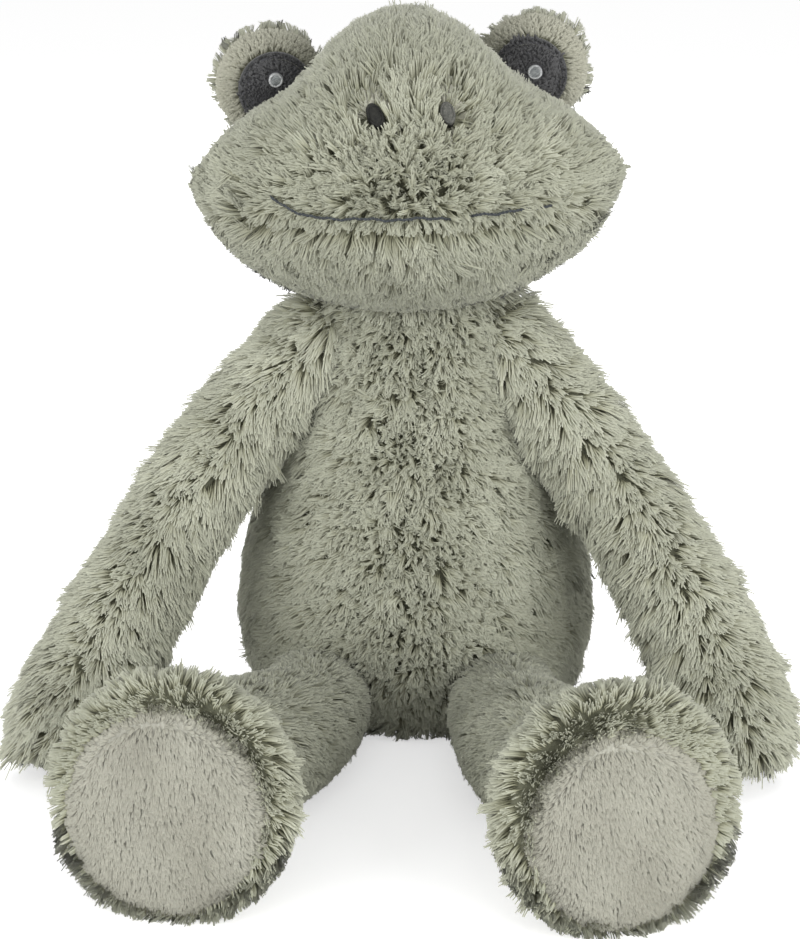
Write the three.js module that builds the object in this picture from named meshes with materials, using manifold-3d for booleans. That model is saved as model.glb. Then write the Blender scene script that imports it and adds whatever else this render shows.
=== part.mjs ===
// A sitting long-pile plush frog, in millimetres, with +Z up and the face towards -Y.
// The origin is on the surface it sits on, under the middle of its flat seat.
// Sides are the frog's own: its left is +X. Outer surfaces are the tips of the combed pile.
import * as THREE from 'three';
import { mergeVertices } from 'three/addons/utils/BufferGeometryUtils.js';
import Module from 'manifold-3d';

const wasm = await Module();
wasm.setup();

// Driving sizes of the body
const torsoWidth = 130;
const torsoDepth = 108;
const torsoMiddleY = 6;
const neckHeight = 157;
const neckMiddleY = 4;
const neckRadius = 28;
const neckOpeningRadius = 17;
const neckSeamLow = 3;
const neckSeamHigh = 14;
const neckSeamWall = 1;

// Driving sizes of the head, measured square to its own face from the middle of its side points
const headWidth = 146;
const headCrownHeight = 57;
const headChinDepth = 46;
const headMuzzleLength = 62;
const headBackLength = 48;
const headMiddleY = -15;
const headAboveNeck = 42;
const headMiddleZ = neckHeight + headAboveNeck;
const headPitch = THREE.MathUtils.degToRad(15);
const headLean = THREE.MathUtils.degToRad(2.2);
const headTurn = THREE.MathUtils.degToRad(3.5);

// Eye pods, with their place measured from the head's side points and its middle
const podRadius = 20;
const podThickness = 27;
const podInboard = 27;
const podSide = headWidth / 2 - podInboard;
const podBehind = 13;
const podAbove = 37;
const podTurnIn = THREE.MathUtils.degToRad(9);
const podTurnDown = THREE.MathUtils.degToRad(18);
const podWall = 4.5;
const podOpeningRadius = 7;
const patchRadius = 12.6;
const patchThickness = 1.4;
const highlightRadius = 2.6;
const highlightThickness = 0.8;
const highlightAbove = 1.5;

// Embroidery on the muzzle
const nostrilWidth = 4.2;
const nostrilHeight = 6.8;
const nostrilThickness = 2;
const nostrilSink = 2.4;
const nostrilSide = 11.6;
const nostrilAbove = 14;
const mouthHalfLength = 45;
const mouthBelow = 18;
const mouthRise = 4;
const mouthThreadRadius = 0.9;

// Arms: the shoulder, two points that the arm bends over, and the tip of the hand, the right arm
// lying a little further out
const shoulderInboard = 34;
const shoulderBelowNeck = 16;
const shoulderX = torsoWidth / 2 - shoulderInboard;
const shoulderY = 2;
const shoulderZ = neckHeight - shoulderBelowNeck;
const shoulderRadius = 13.4;
const leftElbowOut = 33;
const rightElbowOut = 37;
const elbowY = -18;
const elbowZ = 97;
const leftWristOut = 65;
const rightWristOut = 70;
const wristY = -49;
const wristZ = 47;
const leftHandOut = 85;
const rightHandOut = 89;
const leftHandY = -66;
const rightHandY = -74;
const handZ = 5;
const handRadius = 24;
const armSwingRise = 10.5;
const armOpeningRadius = 7;
const armOpeningShare = 0.25;

// Legs: the hip, two points along the leg, and the middle of the sole, the right foot turned in more
const hipInboard = 34;
const hipX = torsoWidth / 2 - hipInboard;
const hipY = -23;
const hipZ = 16.5;
const hipRadius = 16.5;
const leftKneeOut = 5;
const rightKneeOut = 9;
const kneeY = -64;
const kneeZ = 19;
const leftAnkleOut = 20;
const rightAnkleOut = 34;
const ankleY = -116;
const leftAnkleZ = 33;
const rightAnkleZ = 36;
const leftFootOut = 35.5;
const rightFootOut = 40;
const leftFootY = -168;
const rightFootY = -164;
const footZ = 38.5;
const footRadius = 39.8;
const hipSwingHalf = 19;
const legOpeningRadius = 10;
const soleRadius = 30.7;
const soleDrop = 4;
const soleThickness = 3;
const soleSink = 2.5;
const soleCrown = 1.6;

// The pouch of pellets in the seat
const pouchWidth = 82;
const pouchDepth = 40;
const pouchHeight = 19;
const pouchMiddleY = 20;

// Cloth, fits and cuts
const coverWall = 7;
const gap = 0.3;
const flatCut = 0.5;

// Numbers of sides, rings and steps
const torsoSides = 24;
const limbSides = 16;
const headSides = 20;
const headRings = 14;
const insideSides = 12;
const insideRings = 8;
const ballSides = 16;
const smallSides = 12;
const threadSides = 6;
const outlineSteps = 10;
const podSteps = 8;
const limbSteps = 9;
const mouthSteps = 14;
const discSteps = 3;

// Outlines as shares: of the widest radius, with the share of the height or of the limb's length
const torsoOutlineShares = [
  [0.80, 0.00], [0.93, 0.07], [0.99, 0.16], [1.00, 0.25], [0.95, 0.38],
  [0.87, 0.49], [0.79, 0.59], [0.68, 0.71], [0.55, 0.86], [0.40, 1.00],
];
const armOutlineShares = [
  [0.58, 0.00], [0.66, 0.28], [0.82, 0.55], [0.94, 0.74], [1.00, 0.86], [0.86, 0.96], [0.42, 1.00],
];
const legOutlineShares = [
  [0.42, 0.00], [0.47, 0.25], [0.52, 0.48], [0.62, 0.66], [0.80, 0.79], [0.96, 0.89], [1.00, 0.95],
  [0.97, 0.985], [0.88, 1.00],
];
const pouchOutlineShares = [[0.70, 0.00], [0.94, 0.16], [1.00, 0.42], [0.90, 0.74], [0.60, 0.96]];
const nostrilOutlineShares = [[1.00, 0.00], [1.00, 0.55], [0.70, 0.88]];

// Powers of the curves that the head's crown, chin, muzzle and back follow towards its side points
const crownPower = 1.14;
const crownClosePower = 0.92;
const crownRoundShare = 0.18;
const chinPower = 1.95;
const chinClosePower = 0.56;
const planPower = 2.0;
const planClosePower = 0.5;
const podEdgePower = 0.8;

const sideFlatShare = Math.cos(Math.PI / ballSides);
const wallFlatShare = sideFlatShare ** 2;
const up = new THREE.Vector3(0, 0, 1);
const sideways = new THREE.Vector3(1, 0, 0);
const sides = { left: 1, right: -1 };
const pick = (side, left, right) => (side > 0 ? left : right);

const cloths = {
  pile: { color: 0xa3a68f, roughness: 0.95 },
  sole: { color: 0xaeada0, roughness: 0.9 },
  velour: { color: 0x3d3d40, roughness: 0.85 },
  thread: { color: 0x45473f, roughness: 0.6 },
  highlight: { color: 0xc9cbca, roughness: 0.5 },
  filling: { color: 0xf2f0ea, roughness: 1 },
  pouch: { color: 0xe4e0d6, roughness: 0.9 },
};

const at = (x, y, z) => new THREE.Vector3(x, y, z);

// A closed solid from any closed geometry, with its faces turned outwards
function solid(geometry) {
  const bare = geometry.clone();
  bare.deleteAttribute('normal');
  bare.deleteAttribute('uv');
  const merged = mergeVertices(bare);
  const points = merged.attributes.position.array;
  const corners = [];
  for (let i = 0; i < merged.index.count; i += 3) {
    const [a, b, c] = [0, 1, 2].map((k) => merged.index.getX(i + k));
    if (a !== b && b !== c && c !== a) corners.push(a, b, c);
  }
  if (signedVolume(points, corners) < 0) corners.reverse();
  return new wasm.Manifold(new wasm.Mesh({
    numProp: 3,
    vertProperties: new Float32Array(points),
    triVerts: new Uint32Array(corners),
  }));
}

function signedVolume(points, corners) {
  const corner = (i) => at(0, 0, 0).fromArray(points, 3 * corners[i]);
  let total = 0;
  for (let i = 0; i < corners.length; i += 3) {
    total += corner(i).dot(corner(i + 1).cross(corner(i + 2)));
  }
  return total;
}

function toGeometry(manifold) {
  const mesh = manifold.getMesh();
  const geometry = new THREE.BufferGeometry();
  geometry.setAttribute('position', new THREE.BufferAttribute(mesh.vertProperties, 3));
  geometry.setIndex(new THREE.BufferAttribute(mesh.triVerts, 1));
  return geometry;
}

// Joins rings of points into one closed skin, capped at each end
function loft(rings) {
  const count = rings[0].length;
  const points = rings.flat();
  const middleOf = (ring) => ring.reduce((sum, p) => sum.add(p), at(0, 0, 0)).divideScalar(count);
  const first = points.push(middleOf(rings[0])) - 1;
  const last = points.push(middleOf(rings.at(-1))) - 1;
  const corners = [];
  for (let j = 0; j < count; j++) {
    const k = (j + 1) % count;
    corners.push(first, k, j);
    for (let i = 0; i + 1 < rings.length; i++) {
      const a = i * count;
      const b = a + count;
      corners.push(a + j, a + k, b + k, a + j, b + k, b + j);
    }
    const end = (rings.length - 1) * count;
    corners.push(last, end + j, end + k);
  }
  const geometry = new THREE.BufferGeometry().setFromPoints(points);
  geometry.setIndex(corners);
  return solid(geometry);
}

// A smooth outline through shares, scaled to a radius and a length
function smoothOutline(shares, radius, length, steps) {
  const points = shares.map(([r, along]) => new THREE.Vector2(r * radius, along * length));
  return new THREE.SplineCurve(points).getPoints(steps);
}

// A round form along a curve, from an outline of radii and lengths along it
function limb(curve, outline, count) {
  const length = curve.getLength();
  return loft(outline.map(({ x: radius, y: along }) => {
    const share = THREE.MathUtils.clamp(along / length, 0, 1);
    const middle = curve.getPointAt(share);
    const ahead = curve.getTangentAt(share);
    const side = at(0, 0, 0).crossVectors(ahead, up).normalize();
    const over = at(0, 0, 0).crossVectors(side, ahead);
    return Array.from({ length: count }, (_, j) => {
      const angle = (2 * Math.PI * j) / count;
      return middle.clone()
        .addScaledVector(side, radius * Math.cos(angle))
        .addScaledVector(over, radius * Math.sin(angle));
    });
  }));
}

// The same outline a wall further in, ending short of the limb's end
function inset(outline, wall, length, endWall) {
  return outline.map(({ x: radius, y: along }) => new THREE.Vector2(
    Math.max(radius - wall, gap), Math.min(along, length - endWall)))
    .filter((point, i, all) => i === 0 || point.y > all[i - 1].y);
}

function ball(radius, middle) {
  return solid(new THREE.SphereGeometry(radius, ballSides, ballSides / 2)
    .rotateX(Math.PI / 2).translate(middle.x, middle.y, middle.z));
}

// A ball-shaped room whose flats, and not only its corners, clear the given radius
function roundRoom(radius, middle) {
  return ball(radius / wallFlatShare, middle);
}

// A geometry made along +Y, turned to point along a direction and moved to its place
function pointed(geometry, direction, place) {
  const turn = new THREE.Quaternion().setFromUnitVectors(at(0, 1, 0), direction.clone().normalize());
  return solid(geometry.applyQuaternion(turn).translate(place.x, place.y, place.z));
}

// A round bar from one point to another
function rod(radius, from, to, count = smallSides) {
  const axis = to.clone().sub(from);
  const bar = new THREE.CylinderGeometry(radius, radius, axis.length(), count);
  return pointed(bar, axis, from.clone().add(to).divideScalar(2));
}

function box(low, high) {
  const size = high.clone().sub(low);
  const middle = high.clone().add(low).divideScalar(2);
  return solid(new THREE.BoxGeometry(size.x, size.y, size.z).translate(middle.x, middle.y, middle.z));
}

const underfoot = box(at(-2 * torsoWidth, -2 * torsoWidth, -torsoWidth), at(2 * torsoWidth, 2 * torsoWidth, 0));

// The pear-shaped body, a wall in from its pile tips
function torsoForm(wall) {
  const halfWidth = torsoWidth / 2 - wall;
  const bottom = wall - flatCut;
  const steps = wall > 0 ? insideRings : outlineSteps;
  const outline = smoothOutline(torsoOutlineShares, halfWidth, neckHeight - bottom, steps)
    .map(({ x: radius, y: height }) => new THREE.Vector2(radius, bottom + height));
  const closed = [new THREE.Vector2(0, bottom), ...outline, new THREE.Vector2(0, neckHeight)];
  return solid(new THREE.LatheGeometry(closed, wall > 0 ? insideSides : torsoSides).rotateX(Math.PI / 2)
    .scale(1, (torsoDepth / 2 - wall) / halfWidth, 1).translate(0, torsoMiddleY, 0));
}

// The pouch lies on the inside of the cover's floor
function pouchForm(grow) {
  const radius = pouchWidth / 2 + grow;
  const bottom = coverWall - flatCut + gap - grow;
  const outline = smoothOutline(pouchOutlineShares, radius, pouchHeight + 2 * grow, outlineSteps);
  const top = outline.at(-1).y;
  const closed = [new THREE.Vector2(0, 0), ...outline, new THREE.Vector2(0, top)];
  return solid(new THREE.LatheGeometry(closed, smallSides).rotateX(Math.PI / 2)
    .scale(1, (pouchDepth / 2 + grow) / radius, 1).translate(0, pouchMiddleY, bottom));
}

// The head looks up a little, leans to its own right and turns to its left on the neck
const headOnNeck = new THREE.Quaternion().setFromAxisAngle(at(0, 1, 0), -headLean)
  .multiply(new THREE.Quaternion().setFromAxisAngle(up, headTurn));
const headPose = headOnNeck.clone().multiply(
  new THREE.Quaternion().setFromAxisAngle(sideways, -headPitch));
const neckMiddle = at(0, neckMiddleY, neckHeight);
const headMiddle = at(0, headMiddleY, headMiddleZ).sub(neckMiddle).applyQuaternion(headOnNeck)
  .add(neckMiddle);

// From the head's own square-on places to where the head sits
function fromHead(place) {
  return place.clone().applyQuaternion(headPose).add(headMiddle);
}

// How far the head reaches at a share of the way to its side points
function headReach(length, power, closePower, share) {
  return length * (1 - share ** power) ** closePower;
}

// The crown's ridge is rounded over its middle
function crownReach(length, share) {
  const rounded = (Math.hypot(share, crownRoundShare) - crownRoundShare)
    / (Math.hypot(1, crownRoundShare) - crownRoundShare);
  return headReach(length, crownPower, crownClosePower, rounded);
}

// The lemon-shaped head: rings from side point to side point, a wall in from its pile tips
function headForm(wall) {
  const half = headWidth / 2 - wall;
  const ringCount = wall > 0 ? insideRings : headRings;
  const sideCount = wall > 0 ? insideSides : headSides;
  const rings = [];
  for (let i = 1; i < ringCount; i++) {
    const cosine = Math.cos((Math.PI * i) / ringCount);
    const share = Math.abs(cosine);
    const crown = crownReach(headCrownHeight - wall, share);
    const chin = headReach(headChinDepth - wall, chinPower, chinClosePower, share);
    const muzzle = headReach(headMuzzleLength - wall, planPower, planClosePower, share);
    const back = headReach(headBackLength - wall, planPower, planClosePower, share);
    rings.push(Array.from({ length: sideCount }, (_, j) => {
      const angle = (2 * Math.PI * j) / sideCount;
      const ahead = Math.cos(angle);
      const above = Math.sin(angle);
      return fromHead(at(
        half * cosine,
        -ahead * (ahead > 0 ? muzzle : back),
        above * (above > 0 ? crown : chin)));
    }));
  }
  return loft(rings);
}

// A point on the face, at a place to the side and above the line between the side points
function onFace(x, above, sink) {
  const share = Math.abs(x) / (headWidth / 2);
  const height = above > 0
    ? crownReach(headCrownHeight, share)
    : headReach(headChinDepth, chinPower, chinClosePower, share);
  const muzzle = headReach(headMuzzleLength, planPower, planClosePower, share);
  return fromHead(at(x, sink - muzzle * Math.sqrt(1 - (above / height) ** 2), above));
}

// The line that an eye pod faces along, and its middle
function podFacing(side) {
  return at(0, -1, 0).applyAxisAngle(sideways, podTurnDown).applyAxisAngle(up, -side * podTurnIn)
    .applyQuaternion(headPose);
}

function podMiddle(side) {
  return fromHead(at(side * podSide, podBehind, podAbove));
}

function onPod(profile, side, rise = 0) {
  const lathe = new THREE.LatheGeometry(profile, smallSides);
  return pointed(lathe, podFacing(side), podMiddle(side).addScaledVector(up, rise));
}

// The pod's section from its back to its front, grown by an amount
function podProfile(grow) {
  return Array.from({ length: podSteps + 1 }, (_, i) => {
    const turn = (Math.PI * i) / podSteps;
    return new THREE.Vector2(
      (podRadius + grow) * Math.sin(turn) ** podEdgePower,
      -(podThickness / 2 + grow) * Math.cos(turn));
  });
}

// A disc that follows the pod's front between two heights above it
function podDiscProfile(radius, low, high) {
  const steps = Array.from({ length: discSteps + 1 }, (_, i) => (radius * i) / discSteps);
  const over = (r, grow) => {
    const share = (r / (podRadius + grow)) ** (1 / podEdgePower);
    return new THREE.Vector2(r, (podThickness / 2 + grow) * Math.sqrt(1 - share ** 2));
  };
  return [...steps.map((r) => over(r, low)), ...steps.reverse().map((r) => over(r, high))];
}

// A nostril's oval, facing the way the muzzle's slope does above the line of the side points
function nostrilForm(side, grow, depth, top) {
  const outline = nostrilOutlineShares.map(([r, along]) => new THREE.Vector2(r, along * depth));
  const closed = [new THREE.Vector2(0, 0), ...outline, new THREE.Vector2(0, depth)];
  const oval = new THREE.LatheGeometry(closed, smallSides)
    .scale(nostrilWidth / 2 + grow, 1, nostrilHeight / 2 + grow);
  const slope = Math.atan2(nostrilAbove * headMuzzleLength, headCrownHeight * headCrownHeight);
  const facing = at(0, -1, 0).applyAxisAngle(sideways, -slope).applyQuaternion(headPose);
  const place = onFace(side * nostrilSide, nostrilAbove, 0).addScaledVector(facing, top - depth);
  return pointed(oval, facing, place);
}

// The mouth line over the muzzle, rising a little towards its ends
function mouthThread(grow) {
  const half = mouthHalfLength + grow;
  const points = Array.from({ length: mouthSteps + 1 }, (_, i) => {
    const x = half * ((2 * i) / mouthSteps - 1);
    return onFace(x, mouthRise * (x / mouthHalfLength) ** 2 - mouthBelow, gap);
  });
  const curve = new THREE.CatmullRomCurve3(points);
  const radius = mouthThreadRadius + grow;
  const outline = points.map((_, i) => new THREE.Vector2(radius, (curve.getLength() * i) / mouthSteps));
  return limb(curve, outline, threadSides);
}

// The seam allowance of head and body, a band round the top of the neck's ball
const seamInnerRadius = (neckRadius + gap) / sideFlatShare;
const seamOuterRadius = seamInnerRadius + neckSeamWall;
const headRoom = roundRoom(seamOuterRadius + gap, neckMiddle);

function seamBand() {
  const arc = (radius) => Array.from({ length: discSteps + 1 }, (_, i) => {
    const height = THREE.MathUtils.lerp(neckSeamLow, neckSeamHigh, i / discSteps);
    return new THREE.Vector2(Math.sqrt(radius ** 2 - height ** 2), height);
  });
  const inner = arc(seamInnerRadius);
  const outer = arc(seamOuterRadius).reverse();
  const ring = new THREE.LatheGeometry([...inner, ...outer, inner[0]], ballSides);
  return solid(ring.rotateX(Math.PI / 2).translate(neckMiddle.x, neckMiddle.y, neckMiddle.z));
}

// Routes of the limbs from their ball-shaped roots
const shoulder = (side) => at(side * shoulderX, shoulderY, shoulderZ);
const hip = (side) => at(side * hipX, hipY, hipZ);

function armCurve(side) {
  return new THREE.CatmullRomCurve3([
    shoulder(side),
    at(side * (shoulderX + pick(side, leftElbowOut, rightElbowOut)), elbowY, elbowZ),
    at(side * (shoulderX + pick(side, leftWristOut, rightWristOut)), wristY, wristZ),
    at(side * (shoulderX + pick(side, leftHandOut, rightHandOut)),
      pick(side, leftHandY, rightHandY), handZ),
  ]);
}

function legCurve(side) {
  return new THREE.CatmullRomCurve3([
    hip(side),
    at(side * (hipX + pick(side, leftKneeOut, rightKneeOut)), kneeY, kneeZ),
    at(side * (hipX + pick(side, leftAnkleOut, rightAnkleOut)), ankleY,
      pick(side, leftAnkleZ, rightAnkleZ)),
    at(side * (hipX + pick(side, leftFootOut, rightFootOut)),
      pick(side, leftFootY, rightFootY), footZ),
  ]);
}

// An arm's pile envelope, cut by the body beside it, with room for the part behind the shoulder
// to come down as the arm lifts
function armForm(side) {
  const curve = armCurve(side);
  const outline = smoothOutline(armOutlineShares, handRadius, curve.getLength(), limbSteps);
  return limb(curve, outline, limbSides)
    .subtract(torsoForm(-gap).translate([0, 0, armSwingRise]))
    .add(ball(shoulderRadius, shoulder(side)))
    .subtract(underfoot);
}

function armInside(side, wall, openingRadius) {
  const curve = armCurve(side);
  const length = curve.getLength();
  const outline = inset(
    smoothOutline(armOutlineShares, handRadius, length, insideRings), wall, length, wall);
  const inwards = at(0, shoulderY, shoulderZ);
  return limb(curve, outline, insideSides)
    .subtract(torsoForm(-wall))
    .add(rod(openingRadius, curve.getPointAt(armOpeningShare), shoulder(side)))
    .add(rod(openingRadius, shoulder(side), inwards));
}

// A leg's pile envelope with its flared foot
function legForm(side, grow) {
  const curve = legCurve(side);
  const outline = smoothOutline(legOutlineShares, footRadius, curve.getLength(), limbSteps)
    .map(({ x: radius, y: along }) => new THREE.Vector2(radius + grow, along));
  return limb(curve, outline, limbSides);
}

function legInside(side, wall, openingRadius) {
  const curve = legCurve(side);
  const length = curve.getLength();
  const outline = inset(
    smoothOutline(legOutlineShares, footRadius, length, insideRings),
    wall, length, soleSink + soleThickness + gap);
  const inwards = hip(side).addScaledVector(curve.getTangentAt(0), -2 * hipRadius);
  return limb(curve, outline, insideSides).add(rod(openingRadius, hip(side), inwards));
}

// A place a distance behind the foot's front, on the sole's own line below the leg's
function behindSole(side, distance) {
  const curve = legCurve(side);
  return curve.getPointAt(1).addScaledVector(curve.getTangentAt(1), -distance)
    .addScaledVector(up, -soleDrop);
}

function soleForm(side) {
  const outline = [
    new THREE.Vector2(0, 0),
    new THREE.Vector2(soleRadius, 0),
    new THREE.Vector2(soleRadius, soleThickness - soleCrown),
    ...Array.from({ length: discSteps + 1 }, (_, i) => {
      const share = 1 - (i + 1) / (discSteps + 1);
      return new THREE.Vector2(soleRadius * share, soleThickness - soleCrown * share ** 2);
    }),
  ];
  return pointed(new THREE.LatheGeometry(outline, torsoSides),
    legCurve(side).getTangentAt(1), behindSole(side, soleSink + soleThickness));
}

// The room that a leg's root needs to swing from straight ahead to straight down
function hipRoom(side) {
  const far = torsoDepth;
  const swing = box(
    at(side * hipX - hipSwingHalf, hipY - far, hipZ - far),
    at(side * hipX + hipSwingHalf, hipY + hipSwingHalf, hipZ));
  return roundRoom(hipRadius + gap, hip(side)).add(swing).add(legForm(side, gap));
}

function shoulderRoom(side) {
  return roundRoom(shoulderRadius + gap, shoulder(side));
}

const parts = new THREE.Group();

function addPiece(name, cloth, manifold) {
  const { color, roughness } = cloths[cloth];
  const material = new THREE.MeshStandardMaterial({ color, roughness, metalness: 0 });
  const mesh = new THREE.Mesh(toGeometry(manifold), material);
  mesh.name = name;
  parts.add(mesh);
}

// Body
const limbRooms = Object.values(sides)
  .map((side) => hipRoom(side).add(shoulderRoom(side)))
  .reduce((all, room) => all.add(room));
const torsoOuter = torsoForm(0).subtract(underfoot).add(ball(neckRadius, neckMiddle));
const neckTop = at(0, neckMiddleY, headMiddleZ);
const torsoHollow = torsoForm(coverWall).add(rod(neckOpeningRadius, neckMiddle, neckTop));
addPiece('torso_cover', 'pile', torsoOuter.subtract(torsoHollow).subtract(limbRooms));
addPiece('torso_filling', 'filling', torsoForm(coverWall + gap)
  .add(rod(neckOpeningRadius - gap, neckMiddle, neckTop))
  .intersect(torsoOuter)
  .subtract(limbRooms)
  .subtract(pouchForm(gap)));
addPiece('seat_bean_bag', 'pouch', pouchForm(0));
addPiece('neck_seam', 'pouch', seamBand());

// Head, its eye pods and its embroidery
const headOuter = headForm(0).subtract(headRoom);
const faceCuts = Object.values(sides)
  .map((side) => nostrilForm(side, gap, 2 * nostrilSink + nostrilThickness + gap, nostrilSink))
  .reduce((all, cut) => all.add(cut), mouthThread(gap));
addPiece('head_cover', 'pile', headOuter.subtract(headForm(coverWall)).subtract(faceCuts));
addPiece('head_filling', 'filling', headForm(coverWall + gap).subtract(headRoom));
addPiece('mouth_stitch', 'thread', mouthThread(0));
for (const [name, side] of Object.entries(sides)) {
  const pod = onPod(podProfile(0), side).subtract(headForm(-gap));
  const sewnTo = fromHead(at(side * podSide, podBehind, 0));
  const hollow = onPod(podProfile(-podWall), side).add(rod(podOpeningRadius, podMiddle(side), sewnTo));
  const stuffing = onPod(podProfile(-podWall - gap), side)
    .add(rod(podOpeningRadius - gap, podMiddle(side), sewnTo));
  addPiece(`${name}_eye_pod_cover`, 'pile', pod.subtract(hollow));
  addPiece(`${name}_eye_pod_filling`, 'filling', stuffing.intersect(pod));
  addPiece(`${name}_eye_patch`, 'velour',
    onPod(podDiscProfile(patchRadius, gap, gap + patchThickness), side).subtract(headForm(-gap)));
  addPiece(`${name}_eye_highlight`, 'highlight', onPod(podDiscProfile(
    highlightRadius, 2 * gap + patchThickness, 2 * gap + patchThickness + highlightThickness),
  side, highlightAbove).subtract(headForm(-gap)));
  addPiece(`${name}_nostril`, 'thread', nostrilForm(side, 0, nostrilThickness, -nostrilSink));
}

// Arms and legs
for (const [name, side] of Object.entries(sides)) {
  const arm = armForm(side);
  addPiece(`${name}_arm_cover`, 'pile', arm.subtract(armInside(side, coverWall, armOpeningRadius)));
  addPiece(`${name}_arm_filling`, 'filling',
    armInside(side, coverWall + gap, armOpeningRadius - gap).intersect(arm));
  const leg = legForm(side, 0).add(ball(hipRadius, hip(side))).subtract(underfoot);
  const soleRoom = rod(soleRadius + gap,
    behindSole(side, soleSink + soleThickness + gap), behindSole(side, -footRadius), torsoSides);
  addPiece(`${name}_leg_cover`, 'pile',
    leg.subtract(legInside(side, coverWall, legOpeningRadius)).subtract(soleRoom));
  addPiece(`${name}_leg_filling`, 'filling',
    legInside(side, coverWall + gap, legOpeningRadius - gap).intersect(leg).subtract(soleRoom));
  addPiece(`${name}_sole`, 'sole', soleForm(side));
}

export default parts;
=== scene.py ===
# A sitting long-pile plush frog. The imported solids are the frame; this script sews the skins, combs the
# pile over them and works the face in thread. Lengths are metres unless a name or comment says millimetres.
import math

import bmesh
import bpy
import numpy as np
from mathutils import Matrix, Quaternion, Vector


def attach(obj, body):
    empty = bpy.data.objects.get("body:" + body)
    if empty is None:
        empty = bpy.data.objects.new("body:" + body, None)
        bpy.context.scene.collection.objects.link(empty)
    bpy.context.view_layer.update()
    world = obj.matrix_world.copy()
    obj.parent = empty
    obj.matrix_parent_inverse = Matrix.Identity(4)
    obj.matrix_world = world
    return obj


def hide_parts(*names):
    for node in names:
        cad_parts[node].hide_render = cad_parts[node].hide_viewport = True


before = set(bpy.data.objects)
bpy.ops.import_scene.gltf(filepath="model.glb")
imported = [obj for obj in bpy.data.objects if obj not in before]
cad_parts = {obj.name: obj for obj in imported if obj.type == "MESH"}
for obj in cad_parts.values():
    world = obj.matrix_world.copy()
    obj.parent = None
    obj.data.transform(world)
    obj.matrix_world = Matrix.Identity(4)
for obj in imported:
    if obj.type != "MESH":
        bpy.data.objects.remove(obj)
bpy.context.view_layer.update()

bl_info = {
    "name": "Plush frog",
    "version": (1, 0, 0),
    "blender": (4, 5, 0),
    "location": "View3D > Sidebar > Frog",
    "description": "Skins, combed long pile, soles and stitched face of a sitting plush frog",
    "category": "Object",
}

MM = 0.001
IMAGE_HEIGHT = 939
SIDE_NAMES = {1: "left", -1: "right"}

# Sizes of the pattern, in millimetres, as the solids have them. shares are a radius and a way along, each as
# a part of the whole; bends are places along the middle of a limb
TORSO = {"width": 130, "depth": 108, "middle_y": 6, "neck": 157, "neck_y": 4, "neck_radius": 28,
         "shares": [(0.80, 0.00), (0.93, 0.07), (0.99, 0.16), (1.00, 0.25), (0.95, 0.38),
                    (0.87, 0.49), (0.79, 0.59), (0.69, 0.71), (0.60, 0.86), (0.50, 1.00)]}
HEAD = {"width": 146, "crown": 56, "chin": 45.5, "muzzle": 62, "back": 48, "middle": (-2.4, -15, 199),
        "pitch": 15, "lean": 1.5, "turn": 3.5}
POD = {"radius": 20, "thickness": 27, "side": 45.8, "behind": 13, "above": 36.4, "turn_in": 9, "turn_down": 18,
       "shift": {1: (-1.8, 0, 0), -1: (0.6, 0, -2.4)}, "dot": {1: (-2.0, 1.5), -1: (0.4, 3.8)}}
LIMBS = {
    "arm": {"radius": 23,
            "bends": {1: [(25, 1, 144), (64.5, -18, 98), (99, -49, 47), (113, -68, 3.5)],
                      -1: [(-27.5, 1, 144.5), (-68.7, -18, 98.5), (-101.5, -49, 47), (-122, -74, 4)]},
            "shares": [(0.79, 0.00), (0.81, 0.28), (0.82, 0.55), (0.90, 0.74), (0.98, 0.86), (0.86, 0.96),
                       (0.42, 1.00)]},
    "leg": {"radius": 39.8,
            "bends": {1: [(31, -23, 16.5), (35, -64, 19), (50, -116, 27.5), (68, -168, 37.5)],
                      -1: [(-31, -23, 16.5), (-38, -64, 19), (-60.5, -116, 27.5), (-70.3, -164, 37.5)]},
            "shares": [(0.46, 0.00), (0.53, 0.25), (0.61, 0.48), (0.64, 0.66), (0.76, 0.79), (0.95, 0.89),
                       (1.00, 0.95), (0.97, 0.985), (0.88, 1.00)]},
}
SOLE = {"radius": {1: 30.4, -1: 31.6}, "drop": {1: 5.6, -1: 4.0}, "aside": {1: 0.3, -1: -1.3}}
NOSTRIL_ABOVE = 15.5
NOSTRILS = {1: {"aside": 11.7, "sunk": 2.5, "wide": 2.15, "high": 3.6, "lean": -14},
            -1: {"aside": -10.9, "sunk": 2.9, "wide": 2.3, "high": 4.1, "lean": -24}}
MOUTH = {"below": -18, "rise": 4, "half": 45}
LIMB_WALL = 5.0       # pile over the cloth of a limb
COVER = 6.0           # pile that hides a neighbour's cloth
LIMB_CORNER = 3.4     # round of a limb's cloth at its end
TIP_GROUND = 0.25     # no strand lower than this
SEAM_BEHIND = 12      # where the front panels of the body meet the back ones
HEAD_SEAM_BEHIND = 4  # where the head's muzzle and chin panels meet the back one

# How deep under its neighbours a piece's pile is carried on, so that no cloth shows when a joint moves, and
# the lowest root of a piece that comes near the ground
CARRIED_ON = {"torso": {"head": 1, "arm": 4, "leg": 7}, "head": {"torso": 1}, "ruffle": {"head": 1},
              "ring": {"head": 2}, "arm": {"torso": 7, "head": 2}, "leg": {"torso": 14}}
LOWEST_ROOT = {"torso": 5.0, "arm": 0.3, "leg": 0.3}

# How the head's outlines close towards its side points: a power, and a power of what is left
CROWN_CURVE, CHIN_CURVE, ROUND_CURVE = (1.14, 0.92), (1.95, 0.56), (2.0, 0.5)
CROWN_TOP = 0.18      # how far the crown's curve is rounded over its middle, as a share

BANDS = (0.0, 0.55, 1.0)         # heights of a strand's root, belly and tip, as shares
STITCH = np.linspace(0, 1, 4)    # the turns of one short stitch, as shares of its length


def metres(name, description, default):
    return bpy.props.FloatProperty(name=name, description=description, default=default, unit="LENGTH")


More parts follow.
